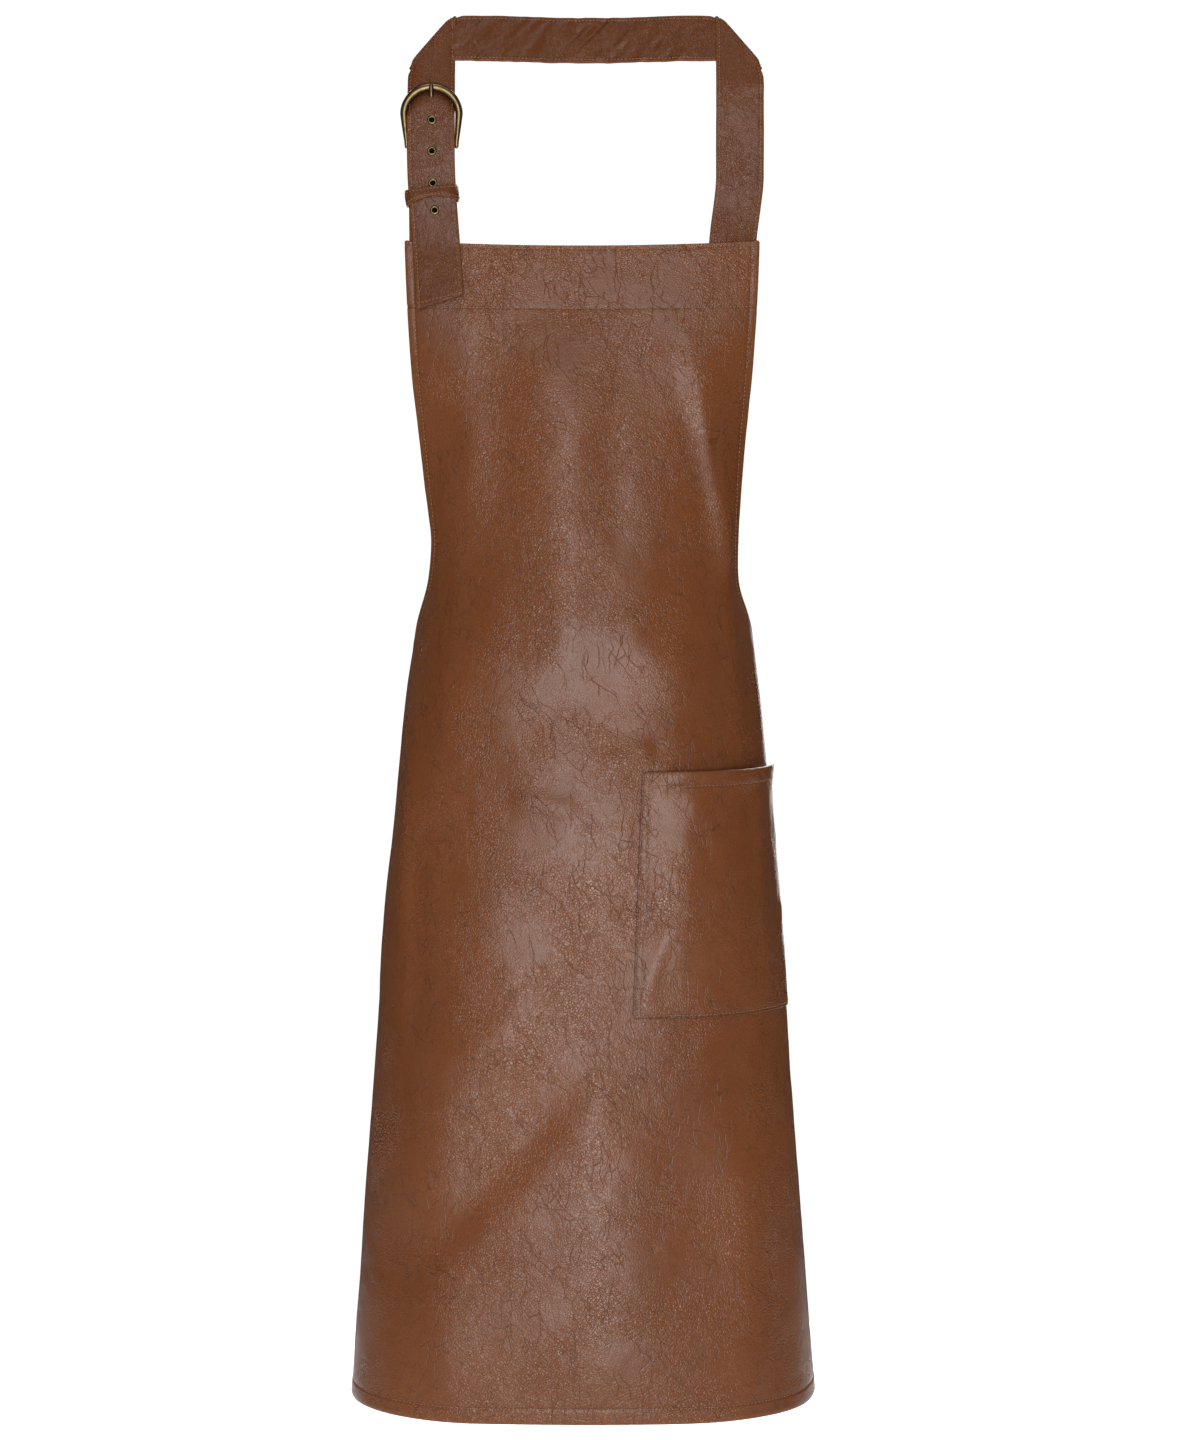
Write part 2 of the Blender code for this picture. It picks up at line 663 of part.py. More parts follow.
def build_eyelets():
    """Rolled eyelets: a flange on each side of the strap joined by a barrel."""
    half = STRAP_T / 2 + GAP
    for index, height in enumerate(EYELETS, 1):
        centre, normal = eyelet_place(height)
        outer = half + EYELET_FLANGE_T
        profile = (
            (EYELET_HOLE_R, -outer * 0.8),
            (EYELET_HOLE_R, outer * 0.8),
            (EYELET_HOLE_R + 0.0005, outer + 0.0002),
            (EYELET_FLANGE_R - 0.0006, outer + 0.0001),
            (EYELET_FLANGE_R, half + 0.0001),
            (EYELET_FLANGE_R - 0.0001, half),
            (EYELET_BARREL_R, half),
            (EYELET_BARREL_R, -half),
            (EYELET_FLANGE_R - 0.0003, -half),
            (EYELET_FLANGE_R - 0.0003, -outer + 0.0001),
            (EYELET_HOLE_R + 0.0004, -outer),
        )
        finish(f"eyelet_{index}", lathe(profile, centre, normal), (BRASS, 0.9, 0.4))


# ---------------------------------------------------------------- buckle
def bar_point(y, z, x=0.0):
    """A point given from the middle of the buckle's bar."""
    return Vector((BUCKLE_X + x, BAR_Y + y, BAR_H + z))


def prong_line(z):
    """Middle of the prong's straight blade at a height above the bar."""
    return bar_point(PRONG_RING_R - 0.2075 * z, z)


def build_buckle():
    """Horseshoe frame, bar and prong."""
    pivot = bar_point(0.0, 0.0)
    lean = FRAME_FORWARD / FRAME_TOP
    centre_z = FRAME_CENTRE
    path, radii = [], []
    marks = [(-FRAME_FOOT_HALF, -0.0012), (-0.0228, 0.0085), (-0.0238, 0.0180)]
    for step in range(13):
        turn = math.pi * (1.0 - step / 12.0)
        marks.append((FRAME_HALF * math.cos(turn), centre_z + (FRAME_TOP - centre_z) * math.sin(turn)))
    marks += [(0.0238, 0.0180), (0.0228, 0.0085), (FRAME_FOOT_HALF, -0.0012)]
    for x, z in marks:
        path.append(bar_point(-lean * z, z, x))
        radii.append(FRAME_FOOT_R + (FRAME_R - FRAME_FOOT_R) * smooth(z, 0.0, 0.030))
    finish("buckle_frame", tube(path, radii, 12), (BRASS, 0.9, 0.35), pivot)
    reach = FRAME_FOOT_HALF - FRAME_FOOT_R - GAP - 0.0008
    bar = tube([bar_point(0, 0, -reach), bar_point(0, 0, 0), bar_point(0, 0, reach)], [BAR_R] * 3, 20)
    finish("buckle_bar", bar, (BRASS, 0.9, 0.35), pivot)
    path, radii = [], []
    ring = PRONG_RING_R
    for step in range(11):
        turn = math.radians(150.0 + 210.0 * step / 10.0)
        path.append(bar_point(ring * math.cos(turn), ring * math.sin(turn)))
        radii.append(PRONG_RING_WIRE)
    for z, radius in ((0.004, 0.0010), (0.010, 0.0012), (0.020, PRONG_R), (0.035, PRONG_R), (0.045, PRONG_R)):
        path.append(prong_line(z))
        radii.append(radius)
    path.append(prong_line(0.0520))
    radii.append(PRONG_R)
    path.append(prong_line(0.0535))
    radii.append(PRONG_R * 0.75)
    finish("buckle_prong", tube(path, radii, 12), (BRASS, 0.9, 0.35), pivot)


def build_buckle_strap():
    """Short strap sewn behind the bib, folded round the bar and stitched to itself."""
    radius = BAR_R + GAP + BUCKLE_STRAP_T / 2
    behind = BIB_Y + PANEL_T / 2 + GAP + PANEL_T + GAP + BUCKLE_STRAP_T / 2 + 0.0008
    back = [
        (behind - 0.0005, SEAM_LOW), (behind, 1.020), (behind, PANEL_HEIGHT + 0.004), (BIB_Y + 0.0007, 1.080),
        (BIB_Y - 0.00025, FOLD_END), (BAR_Y + 0.0015, BAR_H - 0.012), (BAR_Y + 0.0026, BAR_H - 0.005),
        (BAR_Y + radius, BAR_H),
    ]
    back[0] = (panel_depth(BUCKLE_X, SEAM_LOW) + behind - BIB_Y, SEAM_LOW)
    back[1] = (panel_depth(BUCKLE_X, 1.020) + behind - BIB_Y, 1.020)
    points = list(back)
    for turn in (30, 60, 90, 120, 150, 180):
        angle = math.radians(turn)
        points.append((BAR_Y + radius * math.cos(angle), BAR_H + radius * math.sin(angle)))
    apart = BUCKLE_STRAP_T + GAP + 0.0001
    points += [
        (BAR_Y - 0.0026, BAR_H - 0.005), (BAR_Y + 0.0015 - apart, BAR_H - 0.012),
        (BIB_Y - 0.00025 - apart, FOLD_END),
    ]
    rungs = []
    for index, (y, z) in enumerate(points):
        a, b = points[max(0, index - 1)], points[min(len(points) - 1, index + 1)]
        step = Vector((0.0, b[0] - a[0], b[1] - a[1])).normalized()
        if BAR_H <= z:
            normal = Vector((0.0, y - BAR_Y, z - BAR_H)).normalized()
        else:
            normal = Vector((0.0, step.z, -step.y))
        row = []
        for share in ACROSS:
            x = BUCKLE_X + share * BUCKLE_STRAP_W / 2
            row.append((Vector((x, y + follow_bib(x, BUCKLE_X, z), z)), normal))
        rungs.append(row)
    strap = finish("buckle_strap", slab(rungs, BUCKLE_STRAP_T), leather())
    slot = box_tool(bar_point(-0.008, -0.0080, -0.0021), bar_point(0.008, 0.0100, 0.0021))
    cut(strap, slot, "prong_opening")


def build_keeper():
    """Loop that holds the tail against the short strap; it slides along both."""
    front = BIB_Y - 0.0101 - KEEPER_T / 2
    back = BIB_Y + 0.0064 + KEEPER_T / 2
    middle, half = (front + back) / 2, (back - front) / 2
    outline = []
    for corner_x, corner_y, first in ((1, 1, 0), (-1, 1, 90), (-1, -1, 180), (1, -1, 270)):
        for step in range(5):
            turn = math.radians(first + 22.5 * step)
            out = Vector((math.cos(turn), math.sin(turn), 0.0))
            centre = Vector((corner_x * (KEEPER_HALF - KEEPER_CORNER), corner_y * (half - KEEPER_CORNER), 0.0))
            outline.append((centre + out * KEEPER_CORNER, out))
        if corner_x == corner_y:
            for share in (0.5, 0.0, -0.5):
                x = corner_x * share * (KEEPER_HALF - KEEPER_CORNER)
                outline.append((Vector((x, corner_y * half, 0.0)), Vector((0.0, corner_y, 0.0))))
    rungs = []
    for point, out in outline:
        row = []
        for z in (-0.5, 0.0, 0.5):
            bow = 0.0012 * max(0.0, -out.y) * max(0.0, 1.0 - (point.x / KEEPER_HALF) ** 2)
            row.append((point + Vector((0.0, -bow * (0.7 - z), z * KEEPER_BAND)), out))
        rungs.append(row)
    turned = Matrix.Rotation(-KEEPER_TILT, 3, "Y")
    centre = Vector((-0.1325, middle, KEEPER_H))
    placed = [[(turned @ p + centre, turned @ n) for p, n in row] for row in rungs]
    finish("strap_keeper", slab(placed, KEEPER_T, ring=True), leather(0.4), centre)


# ---------------------------------------------------------------- waist ties
def build_ties():
    """Two flat ties sewn inside the waist corners, knotted behind the wearer, and the knot's hanging tails."""
    half_round = arc_table(TIE_H)[-1][0]
    back_y = wrap(half_round, TIE_H).y
    stop = half_round - KNOT[0] - 0.0012
    start = half_width(TIE_H) - 0.034
    for side, sign in (("right", -1.0), ("left", 1.0)):
        grid = []
        for k in range(13):
            along = sign * (start + (stop - start) * k / 12.0)
            share = k / 12.0
            height = TIE_H + 0.004 * share
            normal = wrap_normal(along, height)
            inside = PANEL_T / 2 + GAP + PANEL_T + GAP + TIE_T / 2 + 0.0012
            point = wrap(along, height) - normal * inside
            point.z = height
            normal = Vector((normal.x, normal.y, 0.0)).normalized()
            squeeze = 1.0 - 0.35 * smooth(share, 0.6, 1.0)
            row = []
            for part in (-0.5, 0.0, 0.5):
                row.append((point + Vector((0.0, 0.0, part * TIE_W * squeeze)), normal))
            grid.append(row)
        finish(f"waist_tie_{side}", slab(grid, TIE_T), leather())
        tail = []
        for k in range(7):
            share = k / 6.0
            x = sign * (0.0060 + 0.016 * share)
            y = back_y - 0.001 + 0.003 * math.sin(math.pi * share) + (0.0012 if sign > 0 else -0.0012)
            z = TIE_H + 0.004 - KNOT[2] - 0.0006 - TIE_TAIL * share
            width = TIE_W * (0.40 + 0.60 * smooth(share, 0.0, 0.5))
            normal = Vector((0.0, 1.0, 0.0))
            tail.append([(Vector((x + part * width, y, z)), normal) for part in (-0.5, 0.0, 0.5)])
        finish(f"tie_tail_{side}", slab(tail, TIE_T), leather())
    knot = bmesh.new()
    bmesh.ops.create_icosphere(knot, subdivisions=3, radius=1.0)
    for vertex in knot.verts:
        p = vertex.co
        pinch = 1.0 - 0.18 * math.cos(3.0 * math.atan2(p.z, p.x)) ** 2
        vertex.co = Vector((p.x * KNOT[0], p.y * KNOT[1] * pinch, p.z * KNOT[2])) + Vector((0.0, back_y, TIE_H + 0.004))
    finish("tie_knot", knot, leather())


def main():
    """Clears the scene and builds every sub-part."""
    for old in list(bpy.data.objects):
        bpy.data.objects.remove(old, do_unlink=True)
    build_panel()
    build_pocket()
    build_neck_strap()
    build_eyelets()
    build_buckle_strap()
    build_buckle()
    build_keeper()
    build_ties()


main()
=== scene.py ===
"""Looks of a leather bib apron with a buckled neck strap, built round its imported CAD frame."""

import sys

import logging
import math
from dataclasses import dataclass
from enum import Enum
from typing import Any, Callable, Optional, Sequence

import bmesh
import bpy
import numpy as np
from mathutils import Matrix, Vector


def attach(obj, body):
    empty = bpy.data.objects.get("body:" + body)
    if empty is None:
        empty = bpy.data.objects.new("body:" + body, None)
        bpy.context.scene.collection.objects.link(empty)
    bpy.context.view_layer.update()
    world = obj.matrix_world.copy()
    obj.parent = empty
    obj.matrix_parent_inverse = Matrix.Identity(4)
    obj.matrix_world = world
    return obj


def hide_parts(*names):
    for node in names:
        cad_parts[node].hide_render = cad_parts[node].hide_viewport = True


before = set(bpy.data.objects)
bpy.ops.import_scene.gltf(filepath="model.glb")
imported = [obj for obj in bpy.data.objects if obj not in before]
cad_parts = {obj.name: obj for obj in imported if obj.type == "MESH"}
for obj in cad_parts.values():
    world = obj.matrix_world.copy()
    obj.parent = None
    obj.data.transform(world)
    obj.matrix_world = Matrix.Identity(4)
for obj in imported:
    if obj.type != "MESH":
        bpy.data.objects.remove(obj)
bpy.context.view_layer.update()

LOG = logging.getLogger("apron")
Array = np.ndarray

# ------------------------------------------------------------------ sizes shared by several pieces, in metres
NAPE = np.array((0.0031, -0.10562, 1.2220))  # the frame's origin, seen from the hem's middle
PANEL_HEIGHT = 1.040
PANEL_T = 0.0012
GAP = 0.0003
BIB_HALF_TOP = 0.1560
BIB_HALF_WAIST = 0.1490
SKIRT_HALF_TOP = 0.3250
SKIRT_HALF_HEM = 0.3500
ARM_TOP = 0.790
ARM_BOTTOM = 0.660
SIDE_HEM = 0.0055
BOTTOM_HEM = 0.0125
FACING = 0.0570
SIDE_RISE = 0.0100
TOP_DIP = 0.0045
STRAP_W = 0.0400
STRAP_T = 0.0022
LOOP_TOP = 1.2420
FOLD_LOW = 1.1940
LEFT_X = -0.1333
RIGHT_X = 0.1395
BAR_H = 1.1245
BUCKLE_X = -0.1329
SEAM_LOW = 0.9950
MM = 0.001
FRONT_Y = -0.152  # the front of the skirt


class Side(Enum):
    """A side of the apron as its wearer names it; the value is the sign of X there."""

    RIGHT = -1
    LEFT = 1


# ------------------------------------------------------------------ numbers
def smooth(value: Any, low: float, high: float) -> Any:
    """0 below low, 1 above high, with a smooth change between; takes a number or an array."""
    share = np.clip((np.asarray(value, float) - low) / (high - low), 0.0, 1.0)
    return share * share * (3.0 - 2.0 * share)


def through(value: Any, places: Sequence[float], heights: Sequence[float]) -> Array:
    """Reads a smooth curve through stations.

    Args:
        value: Where the curve is read, a number or an array.
        places: The stations' places, rising.
        heights: The curve's value at each station.

    Returns:
        The curve's values.
    """
    xs, ys = np.asarray(places, float), np.asarray(heights, float)
    v = np.clip(np.asarray(value, float), xs[0], xs[-1])
    i = np.clip(np.searchsorted(xs, v, side="left") - 1, 0, len(xs) - 2)
    before, after = np.maximum(i - 1, 0), np.minimum(i + 2, len(xs) - 1)
    span = xs[i + 1] - xs[i]
    t = (v - xs[i]) / span
    slope_a = (ys[i + 1] - ys[before]) / (xs[i + 1] - xs[before])
    slope_b = (ys[after] - ys[i]) / (xs[after] - xs[i])
    t2, t3 = t * t, t * t * t
    first = (2 * t3 - 3 * t2 + 1) * ys[i] + (t3 - 2 * t2 + t) * span * slope_a
    return first + (3 * t2 - 2 * t3) * ys[i + 1] + (t3 - t2) * span * slope_b


def unit(vectors: Array) -> Array:
    """Vectors of length one along the last axis."""
    return vectors / np.maximum(np.linalg.norm(vectors, axis=-1, keepdims=True), 1e-12)


@dataclass(frozen=True)
class Ripple:
    """Seeded smooth noise over a flat pattern, for unevenness too small to list one by one."""

    seed: int
    cell: float

    def read(self, u: Array, v: Array) -> Array:
        """Values from about -1 to 1 at flat places u, v in metres."""
        table = np.random.default_rng(self.seed).uniform(-1.0, 1.0, (64, 64))
        x, y = np.asarray(u) / self.cell + 1000.0, np.asarray(v) / self.cell + 1000.0
        i, j = np.floor(x).astype(int), np.floor(y).astype(int)
        a, b = x - i, y - j
        a, b = a * a * (3 - 2 * a), b * b * (3 - 2 * b)
        i0, i1, j0, j1 = i % 64, (i + 1) % 64, j % 64, (j + 1) % 64
        low = table[i0, j0] * (1 - a) + table[i1, j0] * a
        high = table[i0, j1] * (1 - a) + table[i1, j1] * a
        return low * (1 - b) + high * b


# ------------------------------------------------------------------ colours and node trees
def linear(hex_colour: str) -> tuple[float, float, float, float]:
    """An sRGB hex colour as linear RGBA."""
    parts = [int(hex_colour[k : k + 2], 16) / 255.0 for k in (1, 3, 5)]
    made = [p / 12.92 if p <= 0.04045 else ((p + 0.055) / 1.055) ** 2.4 for p in parts]
    return (made[0], made[1], made[2], 1.0)


def add_node(tree: bpy.types.NodeTree, kind: str, inputs: Optional[dict] = None, **settings: Any) -> bpy.types.Node:
    """Adds a node with its settings and links.

    Args:
        tree: The material's node tree.
        kind: The node's type name.
        inputs: Socket name or number to a value, or to the output socket that feeds it.
        **settings: The node's own properties.

    Returns:
        The new node.
    """
    node = tree.nodes.new(kind)
    for key, value in settings.items():
        setattr(node, key, value)
    for key, value in (inputs or {}).items():
        if isinstance(value, bpy.types.NodeSocket):
            tree.links.new(value, node.inputs[key])
        else:
            node.inputs[key].default_value = value
    return node


def new_material(name: str) -> tuple[bpy.types.Material, bpy.types.NodeTree, bpy.types.Node]:
    """An empty material, its tree and its Principled shader already wired to the output."""
    material = bpy.data.materials.new(name)
    material.use_nodes = True
    tree = material.node_tree
    tree.nodes.clear()
    shader = add_node(tree, "ShaderNodeBsdfPrincipled")
    add_node(tree, "ShaderNodeOutputMaterial", {"Surface": shader.outputs["BSDF"]})
    return material, tree, shader


@dataclass(frozen=True)
class EmbossedLeather:
    """Coated split leather: a pigmented polymer skin, heat-embossed with a pebble grain and milled until it creased."""

    name: str = "embossed_tan_leather"
    body: str = "#7C4624"
    warm: str = "#844B26"
    # crease: the dark tone mixed in as painted shade in grain grooves, creases, stitch grooves and pocket rims
    crease: str = "#331A0F"
    edge: str = "#9A5A2C"
    pebble_mm: float = 2.5
    crease_mm: float = 8.5
    mill_mm: float = 26.0
    roughness: float = 0.30
    specular: float = 0.44
    grain_depth_mm: float = 0.20
    crease_depth_mm: float = 0.16
    mill_depth_mm: float = 0.75
    pore_depth_mm: float = 0.05

    def build(self) -> bpy.types.Material:
        """The leather's material: a broken semi-gloss over a warm brown, with painted shade darkening its fine creases
        and grain grooves.
        """
        material, tree, shader = new_material(self.name)
        coords = add_node(tree, "ShaderNodeTexCoord").outputs["Object"]
        patches = add_node(tree, "ShaderNodeTexNoise", {"Vector": coords, "Scale": 17.0, "Detail": 3.0})
        grain = self.pebbles(tree, coords, patches.outputs["Fac"])
        upright = self.creases(tree, coords, (1.0, 1.0, 0.30), 0.0, 31.0)
        slanted = self.creases(tree, coords, (1.0, 1.0, 0.38), 0.75, 24.0)
        lines = add_node(tree, "ShaderNodeMath", {0: upright, 1: slanted}, operation="MAXIMUM")
        milled = add_node(
            tree,
            "ShaderNodeTexNoise",
            {"Vector": coords, "Scale": 1000.0 / self.mill_mm, "Detail": 2.5, "Distortion": 0.6},
        )
        pores = add_node(tree, "ShaderNodeTexNoise", {"Vector": coords, "Scale": 900.0, "Detail": 1.0})
        # heights in millimetres, added up and used by one bump
        height: Any = 0.0
        for layer, depth_mm in (
            (grain, self.grain_depth_mm),
            (lines.outputs[0], -self.crease_depth_mm),
            (milled.outputs["Fac"], self.mill_depth_mm),
            (pores.outputs["Fac"], self.pore_depth_mm),
        ):
            height = add_node(
                tree, "ShaderNodeMath", {0: layer, 1: depth_mm, 2: height}, operation="MULTIPLY_ADD"
            ).outputs[0]
        relief = add_node(tree, "ShaderNodeBump", {"Height": height, "Strength": 1.0, "Distance": MM})
        cloud = add_node(tree, "ShaderNodeTexNoise", {"Vector": coords, "Scale": 9.0, "Detail": 4.0})
        tone = add_node(tree, "ShaderNodeMapRange", {"Value": cloud.outputs["Fac"], "From Min": 0.32, "From Max": 0.68})
        # painted shade: the grain's grooves and the creases are darkened in colour on top of their bump
        valley = add_node(
            tree,
            "ShaderNodeMapRange",
            {"Value": grain, "From Min": 0.0, "From Max": 0.22, "To Min": 0.17, "To Max": 0.0},
        )
        painted_groove_shade = add_node(
            tree,
            "ShaderNodeMath",
            {0: lines.outputs[0], 1: 0.32, 2: valley.outputs["Result"]},
            operation="MULTIPLY_ADD",
        )
        worn = add_node(tree, "ShaderNodeAttribute", attribute_name="rim")
        scuff = add_node(tree, "ShaderNodeMath", {0: worn.outputs["Fac"], 1: 0.28}, operation="MULTIPLY")
        # painted shade: the leather darkens along its stitch grooves and, on the pocket, along its rims
        seam = add_node(tree, "ShaderNodeAttribute", attribute_name="seam")
        shade = add_node(tree, "ShaderNodeMath", {0: seam.outputs["Fac"], 1: 0.48}, operation="MULTIPLY")
        colour: Any = linear(self.body)
        for share, over in (
            (tone.outputs["Result"], self.warm),
            (painted_groove_shade.outputs[0], self.crease),
            (scuff.outputs[0], self.edge),
            (shade.outputs[0], self.crease),
        ):
            colour = add_node(
                tree, "ShaderNodeMix", {0: share, 6: colour, 7: linear(over)}, data_type="RGBA"
            ).outputs[2]
        gloss = add_node(
            tree,
            "ShaderNodeMapRange",
            {
                "Value": patches.outputs["Fac"],
                "From Min": 0.32,
                "From Max": 0.68,
                "To Min": self.roughness + 0.06,
                "To Max": self.roughness - 0.05,
            },
        )
        tree.links.new(colour, shader.inputs["Base Color"])
        tree.links.new(gloss.outputs["Result"], shader.inputs["Roughness"])
        tree.links.new(relief.outputs["Normal"], shader.inputs["Normal"])
        shader.inputs["Specular IOR Level"].default_value = self.specular
        return material

    def pebbles(self, tree: bpy.types.NodeTree, coords: Any, patches: Any) -> Any:
        """The embossed grain.

        Args:
            tree: The material's node tree.
            coords: The piece's coordinates.
            patches: Where the grain is strong.

        Returns:
            A socket, 0 in the grooves and up to 1 on the pebbles.
        """
        wander = add_node(tree, "ShaderNodeTexNoise", {"Vector": coords, "Scale": 210.0, "Detail": 2.0})
        bend = add_node(
            tree,
            "ShaderNodeVectorMath",
            {0: wander.outputs["Color"], 1: (0.0035, 0.0035, 0.0035), 2: coords},
            operation="MULTIPLY_ADD",
        )
        cells = add_node(
            tree,
            "ShaderNodeTexVoronoi",
            {"Vector": bend.outputs[0], "Scale": 1000.0 / self.pebble_mm},
            feature="DISTANCE_TO_EDGE",
        )
        domes = add_node(
            tree,
            "ShaderNodeMapRange",
            {"Value": cells.outputs["Distance"], "From Min": 0.0, "From Max": 0.26},
            interpolation_type="SMOOTHSTEP",
        )
        strong = add_node(
            tree,
            "ShaderNodeMapRange",
            {"Value": patches, "From Min": 0.38, "From Max": 0.62, "To Min": 0.25, "To Max": 1.0},
        )
        return add_node(
            tree, "ShaderNodeMath", {0: domes.outputs["Result"], 1: strong.outputs["Result"]}, operation="MULTIPLY"
        ).outputs[0]

    def creases(
        self, tree: bpy.types.NodeTree, coords: Any, stretch: tuple[float, float, float], turn: float, sway: float
    ) -> Any:
        """One family of long thin creases.

        Args:
            tree: The material's node tree.
            coords: The piece's coordinates.
            stretch: How the cells are squeezed along each axis.
            turn: The creases' lean, in radians.
            sway: Scale of their wandering.

        Returns:
            A socket, 1 in a crease.
        """
        noise = add_node(tree, "ShaderNodeTexNoise", {"Vector": coords, "Scale": sway, "Detail": 3.0})
        swayed = add_node(
            tree,
            "ShaderNodeVectorMath",
            {0: noise.outputs["Color"], 1: (0.020, 0.020, 0.020), 2: coords},
            operation="MULTIPLY_ADD",
        )
        leaned = add_node(
            tree, "ShaderNodeVectorRotate", {"Vector": swayed.outputs[0], "Angle": turn}, rotation_type="Y_AXIS"
        )
        scale = 1000.0 / self.crease_mm
        squeezed = add_node(
            tree,
            "ShaderNodeVectorMath",
            {0: leaned.outputs[0], 1: tuple(scale * k for k in stretch)},
            operation="MULTIPLY",
        )
        cells = add_node(
            tree, "ShaderNodeTexVoronoi", {"Vector": squeezed.outputs[0], "Scale": 1.0}, feature="DISTANCE_TO_EDGE"
        )
        thin = add_node(
            tree,
            "ShaderNodeMapRange",
            {"Value": cells.outputs["Distance"], "From Min": 0.0, "From Max": 0.050, "To Min": 1.0, "To Max": 0.0},
            interpolation_type="SMOOTHSTEP",
        )
        broken = add_node(tree, "ShaderNodeTexNoise", {"Vector": squeezed.outputs[0], "Scale": 0.55, "Detail": 1.0})
        kept = add_node(
            tree, "ShaderNodeMapRange", {"Value": broken.outputs["Fac"], "From Min": 0.47, "From Max": 0.64}
        )
        return add_node(
            tree, "ShaderNodeMath", {0: thin.outputs["Result"], 1: kept.outputs["Result"]}, operation="MULTIPLY"
        ).outputs[0]


@dataclass(frozen=True)
class SuedeBack:
    """The leather's unfinished flesh side: napped, matt and paler than the skin."""

    name: str = "napped_flesh_side"
    nap: str = "#6B452E"
    pale: str = "#7F563C"

    def build(self) -> bpy.types.Material:
        """A dull fibrous brown with no gloss."""
        material, tree, shader = new_material(self.name)
        coords = add_node(tree, "ShaderNodeTexCoord").outputs["Object"]
        # 1.6 mm fibre clumps, as coarse as they need to be to show
        fibre = add_node(tree, "ShaderNodeTexNoise", {"Vector": coords, "Scale": 1000.0 / 1.6, "Detail": 4.0})
        cloud = add_node(tree, "ShaderNodeTexNoise", {"Vector": coords, "Scale": 24.0, "Detail": 3.0})
        both = add_node(
            tree, "ShaderNodeMath", {0: fibre.outputs["Fac"], 1: cloud.outputs["Fac"]}, operation="MULTIPLY"
        )
        share = add_node(tree, "ShaderNodeMapRange", {"Value": both.outputs[0], "From Min": 0.12, "From Max": 0.40})
        colour = add_node(
            tree,
            "ShaderNodeMix",
            {0: share.outputs["Result"], 6: linear(self.nap), 7: linear(self.pale)},
            data_type="RGBA",
        )
        bump = add_node(
            tree, "ShaderNodeBump", {"Height": fibre.outputs["Fac"], "Strength": 0.6, "Distance": 0.0003}
        )
        tree.links.new(colour.outputs[2], shader.inputs["Base Color"])
        tree.links.new(bump.outputs["Normal"], shader.inputs["Normal"])
        shader.inputs["Roughness"].default_value = 0.88
        shader.inputs["Sheen Weight"].default_value = 0.15
        return material


@dataclass(frozen=True)
class AntiqueBrass:
    """Zinc die casting plated with brass, darkened and relieved by tumbling, so that its high spots shine."""

    name: str = "antique_brass_plate"
    dark: str = "#332A20"
    bright: str = "#7D6A4A"
    worn_share: float = 0.36

    def build(self) -> bpy.types.Material:
        """A brown-gold metal, dull in its hollows and brighter where it is rubbed."""
        material, tree, shader = new_material(self.name)
        coords = add_node(tree, "ShaderNodeTexCoord").outputs["Object"]
        cloud = add_node(tree, "ShaderNodeTexNoise", {"Vector": coords, "Scale": 170.0, "Detail": 4.0})
        worn = add_node(tree, "ShaderNodeAttribute", attribute_name="rim")
        rubbed = add_node(
            tree,
            "ShaderNodeMath",
            {0: worn.outputs["Fac"], 1: self.worn_share, 2: cloud.outputs["Fac"]},
            operation="MULTIPLY_ADD",
        )
        share = add_node(tree, "ShaderNodeMapRange", {"Value": rubbed.outputs[0], "From Min": 0.38, "From Max": 0.85})
        colour = add_node(
            tree,
            "ShaderNodeMix",
            {0: share.outputs["Result"], 6: linear(self.dark), 7: linear(self.bright)},
            data_type="RGBA",
        )
        gloss = add_node(
            tree,
            "ShaderNodeMapRange",
            {"Value": share.outputs["Result"], "To Min": 0.50, "To Max": 0.34},
        )
        # 0.9 mm tumbling marks
        marks = add_node(tree, "ShaderNodeTexNoise", {"Vector": coords, "Scale": 1000.0 / 0.9, "Detail": 2.0})
        bump = add_node(
            tree, "ShaderNodeBump", {"Height": marks.outputs["Fac"], "Strength": 0.25, "Distance": 0.0001}
        )
        tree.links.new(colour.outputs[2], shader.inputs["Base Color"])
        tree.links.new(gloss.outputs["Result"], shader.inputs["Roughness"])
        tree.links.new(bump.outputs["Normal"], shader.inputs["Normal"])
        shader.inputs["Metallic"].default_value = 1.0
        return material


@dataclass(frozen=True)
class SewingThread:
    """Bonded polyester thread, twisted and waxed, dyed to match the leather."""

    name: str = "bonded_polyester_thread"
    dye: str = "#B57E55"
    shade: str = "#85532F"
    twist_mm: float = 0.5

    def build(self) -> bpy.types.Material:
        """A matt tan thread with darker turns of twist."""
        material, tree, shader = new_material(self.name)
        coords = add_node(tree, "ShaderNodeTexCoord").outputs["Object"]
        twist = add_node(tree, "ShaderNodeTexNoise", {"Vector": coords, "Scale": 1000.0 / self.twist_mm})
        share = add_node(tree, "ShaderNodeMapRange", {"Value": twist.outputs["Fac"], "From Min": 0.35, "From Max": 0.6})
        colour = add_node(
            tree,
            "ShaderNodeMix",
            {0: share.outputs["Result"], 6: linear(self.shade), 7: linear(self.dye)},
            data_type="RGBA",
        )
        tree.links.new(colour.outputs[2], shader.inputs["Base Color"])
        shader.inputs["Roughness"].default_value = 0.62
        return material


